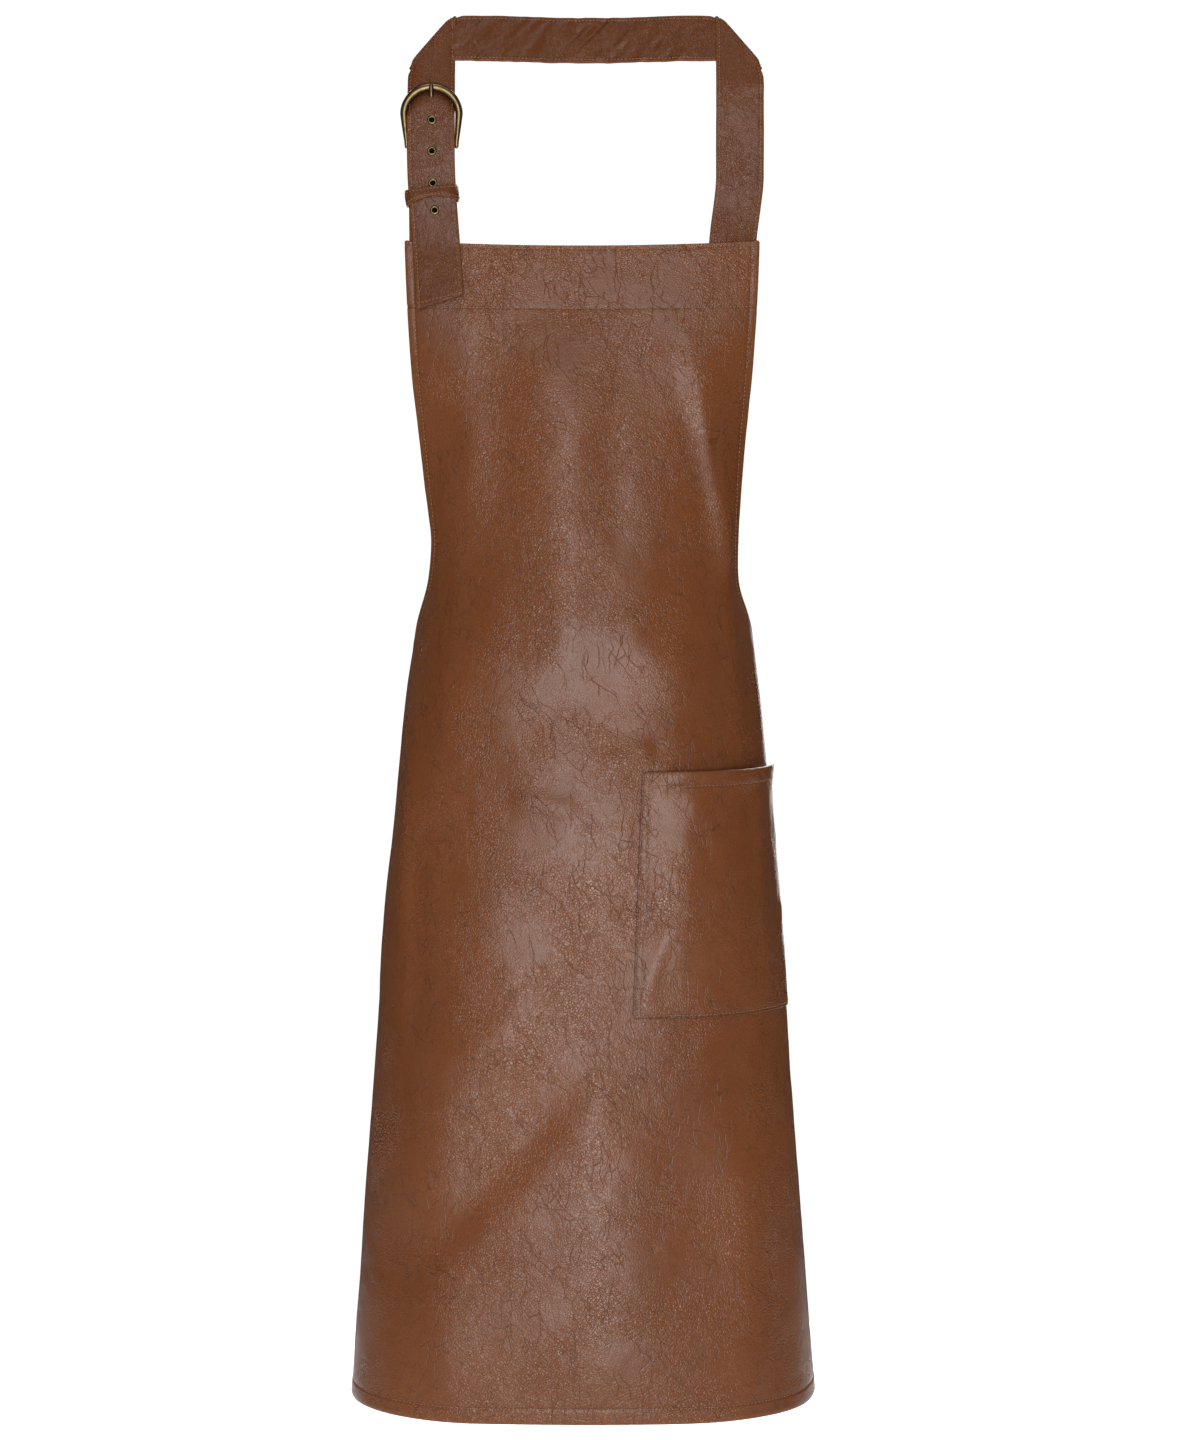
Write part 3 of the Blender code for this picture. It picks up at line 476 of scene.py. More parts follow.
@dataclass(frozen=True)
class BoreShade:
    """A near-black finish for the bottom of each bore: painted shadow where the hole shows only shade."""

    name: str = "painted_bore_shadow"
    dark: str = "#0E0906"
    light: str = "#1B110B"

    def build(self) -> bpy.types.Material:
        """A matt near-black: painted shadow, as the bottom of a small hole looks."""
        material, tree, shader = new_material(self.name)
        coords = add_node(tree, "ShaderNodeTexCoord").outputs["Object"]
        # faint noise in the painted shadow
        fibre = add_node(tree, "ShaderNodeTexNoise", {"Vector": coords, "Scale": 1500.0, "Detail": 2.0})
        colour = add_node(
            tree,
            "ShaderNodeMix",
            {0: fibre.outputs["Fac"], 6: linear(self.dark), 7: linear(self.light)},
            data_type="RGBA",
        )
        tree.links.new(colour.outputs[2], shader.inputs["Base Color"])
        shader.inputs["Roughness"].default_value = 0.95
        shader.inputs["Specular IOR Level"].default_value = 0.1
        return material


@dataclass(frozen=True)
class StudioPaper:
    """Matt seamless background paper, rolled out as floor and wall."""

    name: str = "seamless_paper"
    tone: str = "#F4F4F4"

    def build(self) -> bpy.types.Material:
        """A pale matt sheet with a faint unevenness."""
        material, tree, shader = new_material(self.name)
        coords = add_node(tree, "ShaderNodeTexCoord").outputs["Object"]
        cloud = add_node(tree, "ShaderNodeTexNoise", {"Vector": coords, "Scale": 0.8})
        colour = add_node(
            tree,
            "ShaderNodeMix",
            {0: cloud.outputs["Fac"], 6: linear(self.tone), 7: linear("#F0F0F0")},
            data_type="RGBA",
        )
        tree.links.new(colour.outputs[2], shader.inputs["Base Color"])
        shader.inputs["Roughness"].default_value = 0.9
        shader.inputs["Specular IOR Level"].default_value = 0.1
        return material


@dataclass
class Finishes:
    """Every finish, built once."""

    leather: bpy.types.Material
    strap: bpy.types.Material
    suede: bpy.types.Material
    brass: bpy.types.Material
    thread: bpy.types.Material

    @classmethod
    def build(cls) -> "Finishes":
        """Builds the finishes."""
        return cls(
            EmbossedLeather().build(),
            # the straps' copy of the leather has a darker, deeper body: partly the straps' own tan, partly painted
            # shade for straps that face the key square on
            EmbossedLeather(
                "embossed_tan_strap_leather", body="#6C3A1B", warm="#784422", pebble_mm=1.8, crease_mm=4.0,
                crease_depth_mm=0.10, mill_mm=11.0, mill_depth_mm=0.95, roughness=0.30, specular=0.34,
            ).build(),
            SuedeBack().build(),
            AntiqueBrass().build(),
            SewingThread().build(),
        )


# ------------------------------------------------------------------ mesh making
def make_mesh(
    name: str,
    points: Array,
    faces: Sequence[Sequence[int]],
    body: str,
    materials: Sequence[bpy.types.Material],
    slots: Optional[Array] = None,
    fields: Optional[dict[str, Array]] = None,
) -> bpy.types.Object:
    """Makes a smooth mesh piece that rides on a body.

    Args:
        name: The piece's name.
        points: Its points, measured from the hem's middle.
        faces: Its faces.
        body: The CAD body it rides on.
        materials: Its finishes.
        slots: Each face's finish number, if it has more than one.
        fields: Point attributes that the finishes read.

    Returns:
        The new object.
    """
    mesh = bpy.data.meshes.new(name)
    moved = points - NAPE
    mesh.from_pydata(moved.tolist(), [], [list(map(int, f)) for f in faces])
    mesh.update()
    mesh.polygons.foreach_set("use_smooth", [True] * len(mesh.polygons))
    for material in materials:
        mesh.materials.append(material)
    if slots is not None:
        mesh.polygons.foreach_set("material_index", np.asarray(slots, np.int32))
    for key, values in (fields or {}).items():
        mesh.attributes.new(key, "FLOAT", "POINT").data.foreach_set("value", np.asarray(values, np.float32))
    mesh.validate()
    made = bpy.data.objects.new(name, mesh)
    bpy.context.scene.collection.objects.link(made)
    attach(made, body)
    LOG.info("%s: %d faces", name, len(mesh.polygons))
    return made


def layered_sheet(
    name: str,
    top: Array,
    bottom: Array,
    body: str,
    materials: Sequence[bpy.types.Material],
    fields: Optional[dict[str, Array]] = None,
    ring: bool = False,
    rim_steps: int = 3,
) -> bpy.types.Object:
    """A closed sheet between two grids of points, with a rounded rim.

    Args:
        name: The piece's name.
        top: The outer skin, rows by columns by 3.
        bottom: The inner skin, the same shape.
        body: The CAD body it rides on.
        materials: The outer finish, and the inner one if it differs.
        fields: Point attributes over the grid, for both skins.
        ring: Joins the last row to the first.
        rim_steps: Points round the rim between the skins.

    Returns:
        The new object.
    """
    rows, cols = top.shape[:2]
    count = rows * cols
    index = np.arange(count).reshape(rows, cols)
    skin = [top.reshape(-1, 3), bottom.reshape(-1, 3)]
    spans = [(i, (i + 1) % rows) for i in range(rows if ring else rows - 1)]
    a, b = np.array([s[0] for s in spans]), np.array([s[1] for s in spans])
    quads = np.stack([index[a][:, :-1], index[a][:, 1:], index[b][:, 1:], index[b][:, :-1]], -1).reshape(-1, 4)
    faces = [quads, quads[:, ::-1] + count]
    kinds = [np.zeros(len(quads), int), np.full(len(quads), min(1, len(materials) - 1))]
    if ring:
        borders = [(index[:, 0], True, -1), (index[:, -1], True, 1)]
    else:
        loop = np.concatenate([index[0, :], index[1:, -1], index[-1, -2::-1], index[-2:0:-1, 0]])
        borders = [(loop, True, 0)]
    mid = (top + bottom) / 2
    extra = []
    start = 2 * count
    rim_values: dict[str, list[Array]] = {key: [] for key in (fields or {})}
    for border, closed, way in borders:
        centre = mid.reshape(-1, 3)[border]
        half = (top.reshape(-1, 3) - bottom.reshape(-1, 3))[border] / 2
        if way == 0:
            ahead = np.roll(centre, -1, 0) - np.roll(centre, 1, 0)
            out = unit(np.cross(unit(half), unit(ahead)))
            near = mid.reshape(-1, 3)[_inner_neighbours(index)]
            out *= np.sign(np.sum(out * (centre - near), -1, keepdims=True))
        else:
            beside = mid[:, 1 if way < 0 else -2]
            out = unit(centre - beside)
        size = np.linalg.norm(half, axis=-1, keepdims=True)
        previous = border
        for step in range(1, rim_steps + 1):
            turn = math.pi * step / (rim_steps + 1)
            extra.append(centre + half * math.cos(turn) + out * size * math.sin(turn))
            current = start + np.arange(len(border))
            start += len(border)
            faces.append(_band(previous, current, closed))
            kinds.append(np.zeros(len(border), int))
            for key in rim_values:
                rim_values[key].append((fields or {})[key].reshape(-1)[border])
            previous = current
        faces.append(_band(previous, border + count, closed))
        kinds.append(np.zeros(len(border), int))
    points = np.concatenate(skin + extra)
    all_faces = np.concatenate(faces)
    values = {
        key: np.concatenate([grid.reshape(-1), grid.reshape(-1), *rim_values[key]])
        for key, grid in (fields or {}).items()
    }
    made = make_mesh(name, points, all_faces, body, materials, np.concatenate(kinds), values)
    face_out(made)
    return made


def _inner_neighbours(index: Array) -> Array:
    """For each border point of a grid, in border order, the number of the point just inside it."""
    rows, cols = index.shape
    first = np.clip(np.arange(cols), 1, cols - 2)
    side = np.clip(np.arange(rows), 1, rows - 2)
    return np.concatenate([
        index[1, first], index[side[1:], -2], index[-2, first[-2::-1]], index[side[-2:0:-1], 1]
    ])


def _band(a: Array, b: Array, closed: bool) -> Array:
    """Faces between two loops of point numbers."""
    c, d = (np.roll(a, -1), np.roll(b, -1)) if closed else (a[1:], b[1:])
    if not closed:
        a, b = a[:-1], b[:-1]
    return np.stack([a, c, d, b], -1)


def face_out(piece: bpy.types.Object) -> None:
    """Turns a closed mesh's faces outwards."""
    work = bmesh.new()
    work.from_mesh(piece.data)
    bmesh.ops.recalc_face_normals(work, faces=work.faces[:])
    if work.calc_volume(signed=True) < 0:
        bmesh.ops.reverse_faces(work, faces=work.faces[:])
    work.to_mesh(piece.data)
    work.free()
    piece.data.polygons.foreach_set("use_smooth", [True] * len(piece.data.polygons))


def sweep(
    name: str,
    path: Array,
    radii: Array,
    body: str,
    material: bpy.types.Material,
    sides: int = 20,
    flat: float = 1.0,
    rim: Optional[Callable[[Array], Array]] = None,
) -> bpy.types.Object:
    """A rod along a path, with rounded ends.

    Args:
        name: The piece's name.
        path: Its centre line.
        radii: Its radius at each point.
        body: The CAD body it rides on.
        material: Its finish.
        sides: Points round it.
        flat: Its thickness front to back over its width.
        rim: Gives the wear at each point round it, from its outward direction.

    Returns:
        The new object.
    """
    ahead = unit(np.gradient(path, axis=0))
    front = np.array((0.0, -1.0, 0.0))
    side = np.cross(ahead, front)
    weak = np.linalg.norm(side, axis=1) < 0.2
    side[weak] = np.cross(ahead[weak], np.array((1.0, 0.0, 0.0)))
    side = unit(side)
    for k in range(1, len(side)):
        if side[k] @ side[k - 1] < 0:
            side[k] *= -1
    up = unit(np.cross(side, ahead))
    rows: list[Array] = []
    wear: list[Array] = []
    turns = np.linspace(0, 2 * math.pi, sides, endpoint=False)

    def ring(k: int, centre: Array, radius: float) -> None:
        out = side[k] * np.cos(turns)[:, None] + up[k] * (np.sin(turns) * flat)[:, None]
        rows.append(centre + out * radius)
        wear.append(rim(unit(out)) if rim else np.zeros(sides))

    for share in (0.97, 0.72):
        ring(0, path[0] - ahead[0] * radii[0] * share * 0.9, radii[0] * math.sqrt(1 - share * share))
    for k in range(len(path)):
        ring(k, path[k], radii[k])
    for share in (0.72, 0.97):
        ring(-1, path[-1] + ahead[-1] * radii[-1] * share * 0.9, radii[-1] * math.sqrt(1 - share * share))
    points = np.concatenate(rows)
    index = np.arange(len(points)).reshape(len(rows), sides)
    faces: list[list[int]] = []
    for a, b in zip(index[:-1], index[1:]):
        faces += _band(a, b, True).tolist()
    faces.append(list(index[0][::-1]))
    faces.append(list(index[-1]))
    made = make_mesh(name, points, faces, body, [material], fields={"rim": np.concatenate(wear)})
    face_out(made)
    return made


@dataclass
class StitchRow:
    """A row of lock stitches along a line on the leather."""

    name: str
    body: str
    pitch: float = 0.0036
    length: float = 0.0029
    radius: float = 0.00042

    def sew(self, path: Array, normals: Array, material: bpy.types.Material) -> bpy.types.Object:
        """Sews the row.

        Args:
            path: Points on the leather's surface.
            normals: The surface's outward direction at each.
            material: The thread.

        Returns:
            The stitches as one piece.
        """
        steps = np.linalg.norm(np.diff(path, axis=0), axis=1)
        along = np.concatenate([[0.0], np.cumsum(steps)])
        count = max(1, int(along[-1] / self.pitch))
        starts = (np.arange(count) + 0.5) * along[-1] / count
        rings = (
            (-0.5, 0.35, -0.9), (-0.42, 0.85, -0.35), (-0.2, 1.0, 0.15),
            (0.2, 1.0, 0.15), (0.42, 0.85, -0.35), (0.5, 0.35, -0.9),
        )
        sides = 6
        turns = np.linspace(0, 2 * math.pi, sides, endpoint=False)
        points, faces = [], []
        for k, middle in enumerate(starts):
            for offset, size, lift in rings:
                where = np.clip(middle + offset * self.length, 0, along[-1])
                centre = np.array([np.interp(where, along, path[:, c]) for c in range(3)])
                normal = unit(np.array([np.interp(where, along, normals[:, c]) for c in range(3)]))
                near = np.array([np.interp(where + 0.0004, along, path[:, c]) for c in range(3)])
                past = np.array([np.interp(where - 0.0004, along, path[:, c]) for c in range(3)])
                side = unit(np.cross(near - past, normal))
                out = side * np.cos(turns)[:, None] + normal * np.sin(turns)[:, None]
                points.append(centre + normal * (lift * self.radius) + out * (self.radius * size))
            base = k * len(rings) * sides
            index = base + np.arange(len(rings) * sides).reshape(len(rings), sides)
            for a, b in zip(index[:-1], index[1:]):
                faces += _band(a, b, True).tolist()
            faces.append(list(index[0][::-1]))
            faces.append(list(index[-1]))
        made = make_mesh(self.name, np.concatenate(points), faces, self.body, [material])
        face_out(made)
        return made


# ------------------------------------------------------------------ the body that the apron hangs on
@dataclass
class WearerForm:
    """Cross-sections of the body inside the apron, read as the panel's surface."""

    heights: tuple[float, ...] = (0.0, 0.150, 0.285, 0.425, 0.565, 0.635, 0.705, 0.745, 0.800, 0.900, 1.040)
    half: tuple[float, ...] = (0.2105, 0.1998, 0.1898, 0.1798, 0.1675, 0.1608, 0.1508, 0.1455, 0.156, 0.195, 0.29)
    depth: tuple[float, ...] = (0.150, 0.146, 0.140, 0.132, 0.124, 0.119, 0.113, 0.110, 0.112, 0.122, 0.130)
    front: tuple[float, ...] = (
        -0.152, -0.151, -0.150, -0.148, -0.145, -0.142, -0.139, -0.138, -0.138, -0.136, -0.130,
    )
    power: tuple[float, ...] = (3.2, 3.1, 3.0, 2.9, 2.8, 2.7, 2.6, 2.5, 2.5, 2.6, 3.4)

    def __post_init__(self) -> None:
        """Lays the cross-sections out by flat distance."""
        self.rows = np.linspace(-0.006, 1.046, 527)
        self.cols = np.linspace(0.0, 0.520, 521)
        self.x = np.zeros((len(self.rows), len(self.cols)))
        self.y = np.zeros_like(self.x)
        turn = np.linspace(0.0, math.pi, 1401)
        for i, height in enumerate(self.rows):
            a, b, front, power = (
                float(through(height, self.heights, k)) for k in (self.half, self.depth, self.front, self.power)
            )
            c, s = np.cos(turn), np.sin(turn)
            x = a * np.abs(s) ** (2.0 / power)
            y = front + b - b * np.sign(c) * np.abs(c) ** (2.0 / power)
            length = np.concatenate([[0.0], np.cumsum(np.hypot(np.diff(x), np.diff(y)))])
            self.x[i] = np.interp(self.cols, length, x)
            self.y[i] = np.interp(self.cols, length, y)

    def half_round(self, height: float) -> float:
        """Flat distance from the front middle to the back middle."""
        a, b, power = (float(through(height, self.heights, k)) for k in (self.half, self.depth, self.power))
        turn = np.linspace(0.0, math.pi, 1401)
        x = a * np.abs(np.sin(turn)) ** (2.0 / power)
        y = -b * np.sign(np.cos(turn)) * np.abs(np.cos(turn)) ** (2.0 / power)
        return float(np.sum(np.hypot(np.diff(x), np.diff(y))))

    def place(self, along: Array, height: Array) -> Array:
        """Points of the smooth panel's mid surface at flat places."""
        along, height = np.broadcast_arrays(np.asarray(along, float), np.asarray(height, float))
        u = np.clip(np.abs(along) / (self.cols[1] - self.cols[0]), 0, len(self.cols) - 1.001)
        v = np.clip((height - self.rows[0]) / (self.rows[1] - self.rows[0]), 0, len(self.rows) - 1.001)
        j, i = u.astype(int), v.astype(int)
        a, b = u - j, v - i
        found = []
        for grid in (self.x, self.y):
            low = grid[i, j] * (1 - a) + grid[i, j + 1] * a
            high = grid[i + 1, j] * (1 - a) + grid[i + 1, j + 1] * a
            found.append(low * (1 - b) + high * b)
        rise = SIDE_RISE * smooth(np.abs(along), 0.09, 0.30) * (1.0 - smooth(height, 0.62, 0.74))
        dip = TOP_DIP * np.maximum(0.0, 1.0 - (along / BIB_HALF_TOP) ** 2) * smooth(height, 0.90, PANEL_HEIGHT)
        return np.stack([np.where(along < 0, -found[0], found[0]), found[1], height + rise - dip], -1)

    def normal(self, along: Array, height: Array) -> Array:
        """Outward directions of the smooth panel."""
        d = 0.003
        across = self.place(np.asarray(along) + d, height) - self.place(np.asarray(along) - d, height)
        up = self.place(along, np.asarray(height) + d) - self.place(along, np.asarray(height) - d)
        return unit(np.cross(across, up))

    def depth_at(self, x: float, height: float) -> float:
        """The y of the smooth panel at a given x."""
        level = min(height, PANEL_HEIGHT)
        i = int(round((level - self.rows[0]) / (self.rows[1] - self.rows[0])))
        limit = int(np.argmax(self.x[i])) + 1
        return float(np.interp(abs(x), self.x[i][:limit], self.y[i][:limit]))


@dataclass(frozen=True)
class Fold:
    """A soft fold or hollow pressed into a sheet along a straight flat line."""

    start: tuple[float, float]
    end: tuple[float, float]
    width: float
    lift: float
    far_width: float = 0.0

    def relief(self, u: Array, v: Array) -> Array:
        """Its height over the sheet at flat places u, v; the line's left side takes far_width if it is given."""
        a, b = np.array(self.start), np.array(self.end)
        d = b - a
        size = float(np.hypot(*d))
        t = ((u - a[0]) * d[0] + (v - a[1]) * d[1]) / size**2
        off = ((u - a[0]) * -d[1] + (v - a[1]) * d[0]) / size
        width = np.where(off > 0, self.far_width or self.width, self.width)
        ends = smooth(t, -0.12, 0.22) * (1.0 - smooth(t, 0.78, 1.12))
        return self.lift * ends * np.exp(-((off / width) ** 2))


# ------------------------------------------------------------------ the panel
@dataclass
class Panel:
    """Bib and skirt cut in one piece, with turned and stitched hems."""

    form: WearerForm
    finishes: Finishes
    step: float = 0.0030
    groove: float = 0.00024
    body: str = "apron"

    FOLDS = (
        Fold((-0.020, 0.960), (-0.012, 0.660), 0.040, 0.0054),
        Fold((-0.078, 0.965), (-0.070, 0.800), 0.022, -0.0016),
        Fold((0.097, 0.946), (0.142, 0.740), 0.013, 0.0050, 0.030),
        Fold((0.126, 0.830), (0.150, 0.600), 0.013, 0.0030),
        Fold((0.020, 0.880), (0.034, 0.760), 0.020, -0.0020),
        Fold((0.020, 0.705), (0.130, 0.632), 0.024, 0.0026),
        Fold((0.018, 0.574), (0.062, 0.592), 0.012, 0.0022),
        Fold((-0.062, 0.548), (-0.004, 0.536), 0.010, 0.0020),
        Fold((-0.105, 0.690), (-0.150, 0.520), 0.024, 0.0030),
        Fold((-0.158, 0.640), (-0.178, 0.440), 0.016, 0.0034),
        Fold((-0.160, 0.525), (-0.150, 0.315), 0.012, -0.0032, 0.022),
        Fold((-0.175, 0.110), (-0.004, 0.300), 0.024, -0.0062, 0.040),
        Fold((-0.108, 0.318), (-0.046, 0.367), 0.014, 0.0014),
        Fold((-0.138, 0.340), (-0.130, 0.010), 0.030, 0.0034),
        Fold((0.148, 0.250), (0.158, 0.010), 0.022, 0.0036),
        Fold((0.010, 0.310), (0.020, 0.000), 0.062, 0.0070),
        Fold((0.205, 0.420), (0.222, 0.060), 0.022, 0.0034),
        Fold((0.080, 0.300), (0.100, 0.080), 0.034, -0.0020),
        Fold((-0.100, 0.880), (-0.122, 0.720), 0.020, 0.0020),
    )

    def half_width(self, height: Array) -> Array:
        """Flat half width of the panel."""
        height = np.asarray(height, float)
        bib = BIB_HALF_WAIST + (BIB_HALF_TOP - BIB_HALF_WAIST) * (height - ARM_TOP) / (PANEL_HEIGHT - ARM_TOP)
        share = np.clip((ARM_TOP - height) / (ARM_TOP - ARM_BOTTOM), 0.0, 1.0)
        arm = BIB_HALF_WAIST + (SKIRT_HALF_TOP - BIB_HALF_WAIST) * (1.0 - np.sqrt(1.0 - share**2))
        skirt = SKIRT_HALF_TOP + (SKIRT_HALF_HEM - SKIRT_HALF_TOP) * (1.0 - height / ARM_BOTTOM)
        return np.where(height >= ARM_TOP, bib, np.where(height >= ARM_BOTTOM, arm, skirt))

    def relief(self, along: Array, height: Array) -> Array:
        """How far the real panel stands off the smooth one."""
        made = np.zeros(np.broadcast(along, height).shape)
        for fold in self.FOLDS:
            made = made + fold.relief(along, height)
        calm = 1.0 - 0.75 * smooth(height, 0.955, 0.985)
        made = made + calm * 0.0016 * Ripple(3, 0.085).read(along, height * 0.8)
        made = made + calm * 0.00055 * Ripple(7, 0.040).read(along, height * 0.7)
        made = made + calm * 0.00016 * Ripple(11, 0.015).read(along, height)
        return made

    def surface(self, along: Array, height: Array, stand: Any = 0.0) -> tuple[Array, Array]:
        """Points and outward directions on the real panel.

        Args:
            along: Flat distance from the middle.
            height: Flat height above the hem.
            stand: Distance outwards from the mid surface.

        Returns:
            The points, and the smooth panel's outward directions there.
        """
        normal = self.form.normal(along, height)
        offset = self.relief(along, height) + stand
        return self.form.place(along, height) + normal * np.asarray(offset)[..., None], normal

    def lines(self, marks: Sequence[float], low: float, high: float) -> Array:
        """Evenly spaced grid lines from low to high with closer ones at each seam mark."""
        made = list(np.arange(low, high, self.step)) + [high]
        for mark in marks:
            made = [m for m in made if abs(m - mark) > 0.0026 or m in (low, high)]
            made += [m for m in mark + np.array((-0.0022, -0.0011, 0.0, 0.0011, 0.0022)) if low < m < high]
        return np.unique(np.round(made, 6))

    def build(self) -> bpy.types.Object:
        """Builds the sheet, its stitching and its inner facing.

        Returns:
            The panel.
        """
        skirt = self.lines((BOTTOM_HEM,), 0.0, ARM_BOTTOM - 0.0001)
        turns = np.radians(np.linspace(90, 0, 46))
        arm = ARM_TOP - (ARM_TOP - ARM_BOTTOM) * np.sin(turns)
        bib = self.lines((PANEL_HEIGHT - FACING, PANEL_HEIGHT - 0.0025), ARM_TOP + 0.002, PANEL_HEIGHT)
        heights = np.unique(np.round(np.concatenate([skirt, arm[1:], bib]), 6))
        cells = int(2 * SKIRT_HALF_HEM / (self.step * 1.1)) // 2
        even = np.linspace(0.0, 1.0, cells)[:-1]
        grid_u, grid_v = [], []
        for height in heights:
            half = float(self.half_width(height))
            inner = half - SIDE_HEM
            right = np.concatenate([
                even * (inner - 0.0030),
                inner + np.array((-0.0022, -0.0010, 0.0, 0.0010, 0.0022, 0.0040)),
                [half],
            ])
            grid_u.append(np.concatenate([-right[:0:-1], right]))
            grid_v.append(np.full(2 * len(right) - 1, height))
        u, v = np.array(grid_u), np.array(grid_v)
        half = self.half_width(v)
        to_side = half - np.abs(u)
        near_side = np.abs(to_side - SIDE_HEM)
        seam = np.exp(-((near_side / 0.0011) ** 2))
        seam = np.maximum(seam, np.exp(-(((v - BOTTOM_HEM) / 0.0011) ** 2)))
        seam = np.maximum(seam, np.exp(-(((v - (PANEL_HEIGHT - FACING)) / 0.0011) ** 2)))
        seam = np.maximum(seam, 0.6 * np.exp(-(((v - (PANEL_HEIGHT - 0.0025)) / 0.0011) ** 2)))
        edge = np.minimum(np.minimum(to_side, v), PANEL_HEIGHT - v)
        edge = np.where(v > ARM_BOTTOM + 0.002, np.minimum(edge, to_side), edge)
        rim = np.exp(-((edge / 0.0018) ** 2))
        hemmed = np.maximum(
            1.0 - smooth(to_side, SIDE_HEM - 0.0006, SIDE_HEM + 0.0006), 1.0 - smooth(v, 0.0119, 0.0131)
        )
        plump = 0.00025 * hemmed * (1.0 - seam)
        pucker = 0.00018 * seam * np.sin(2 * math.pi * (u + v) / 0.0108)
        front = PANEL_T / 2 + plump - self.groove * seam + pucker
        back = -PANEL_T / 2 - (PANEL_T + GAP * 0.5) * hemmed
        top, _ = self.surface(u, v, front)
        bottom, _ = self.surface(u, v, back)
        # the seam mask sinks the stitch grooves and, as the seam attribute, also darkens them in colour: painted shade
        made = layered_sheet(
            "panel_leather", top, bottom, self.body, [self.finishes.leather, self.finishes.suede],
            {"rim": rim, "seam": seam * 0.8},
        )
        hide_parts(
            "main_panel", "bottom_hem", "skirt_side_hem_right", "skirt_side_hem_left",
            "bib_side_hem_right", "bib_side_hem_left", "armhole_hem_right", "armhole_hem_left",
        )
        self.facing()
        self.stitching()
        return made

    def facing(self) -> None:
        """The strip sewn inside the top of the bib."""
        heights = np.linspace(PANEL_HEIGHT - FACING, PANEL_HEIGHT - 0.0006, 22)
        u, v = [], []
        for height in heights:
            half = float(self.half_width(height)) - SIDE_HEM * 0.2
            u.append(np.linspace(-half, half, 100))
            v.append(np.full(100, height))
        u, v = np.array(u), np.array(v)
        away = PANEL_T / 2 + GAP
        side = 1.0 - smooth(self.half_width(v) - np.abs(u), SIDE_HEM, SIDE_HEM + 0.004)
        away = away + side * (PANEL_T + GAP * 0.5)
        top, _ = self.surface(u, v, -away)
        bottom, _ = self.surface(u, v, -away - PANEL_T)
        rim = np.exp(-(((v - heights[0]) / 0.002) ** 2))
        made = layered_sheet(
            "bib_facing_leather", top, bottom, self.body, [self.finishes.suede, self.finishes.leather],
            {"rim": rim, "seam": 0 * rim},
        )
        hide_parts("bib_top_facing")

    def sew(self, name: str, along: Array, height: Array, back: bool = False) -> None:
        """Sews a row on the panel.

        Args:
            name: The row's name.
            along: Flat places along the row.
            height: Flat heights along the row.
            back: Shows the row on the flesh side too.
        """
        points, normals = self.surface(along, height, PANEL_T / 2 - self.groove)
        StitchRow(name, self.body).sew(points, normals, self.finishes.thread)
        if back:
            points, normals = self.surface(along, height, -PANEL_T * 1.5 - GAP)
            StitchRow(name + "_inside", self.body).sew(points, -normals, self.finishes.thread)

    def stitching(self) -> None:
        """Every row on the panel."""
        for side in Side:
            sign, word = side.value, side.name.lower()
            h = np.linspace(BOTTOM_HEM, ARM_BOTTOM - 0.006, 200)
            self.sew(f"skirt_side_stitches_{word}", sign * (self.half_width(h) - SIDE_HEM), h, True)
            turn = np.radians(np.linspace(86, 0, 120))
            reach, drop = SKIRT_HALF_TOP - BIB_HALF_WAIST, ARM_TOP - ARM_BOTTOM
            edge_u = BIB_HALF_WAIST + reach * (1 - np.cos(turn))
            edge_v = ARM_TOP - drop * np.sin(turn)
            du, dv = reach * np.sin(turn), -drop * np.cos(turn)
            size = np.hypot(du, dv)
            self.sew(
                f"armhole_stitches_{word}", sign * (edge_u + dv / size * SIDE_HEM), edge_v - du / size * SIDE_HEM, True
            )
            h = np.linspace(ARM_TOP, PANEL_HEIGHT - 0.004, 90)
            self.sew(f"bib_side_stitches_{word}", sign * (self.half_width(h) - SIDE_HEM), h)
        u = np.linspace(-SKIRT_HALF_HEM + SIDE_HEM, SKIRT_HALF_HEM - SIDE_HEM, 300)
        self.sew("bottom_hem_stitches", u, np.full_like(u, BOTTOM_HEM), True)
        for name, height in (("facing_stitches", PANEL_HEIGHT - FACING), ("bib_top_stitches", PANEL_HEIGHT - 0.0025)):
            half = float(self.half_width(height)) - 0.003
            u = np.linspace(-half, half, 160)
            self.sew(name, u, np.full_like(u, height))


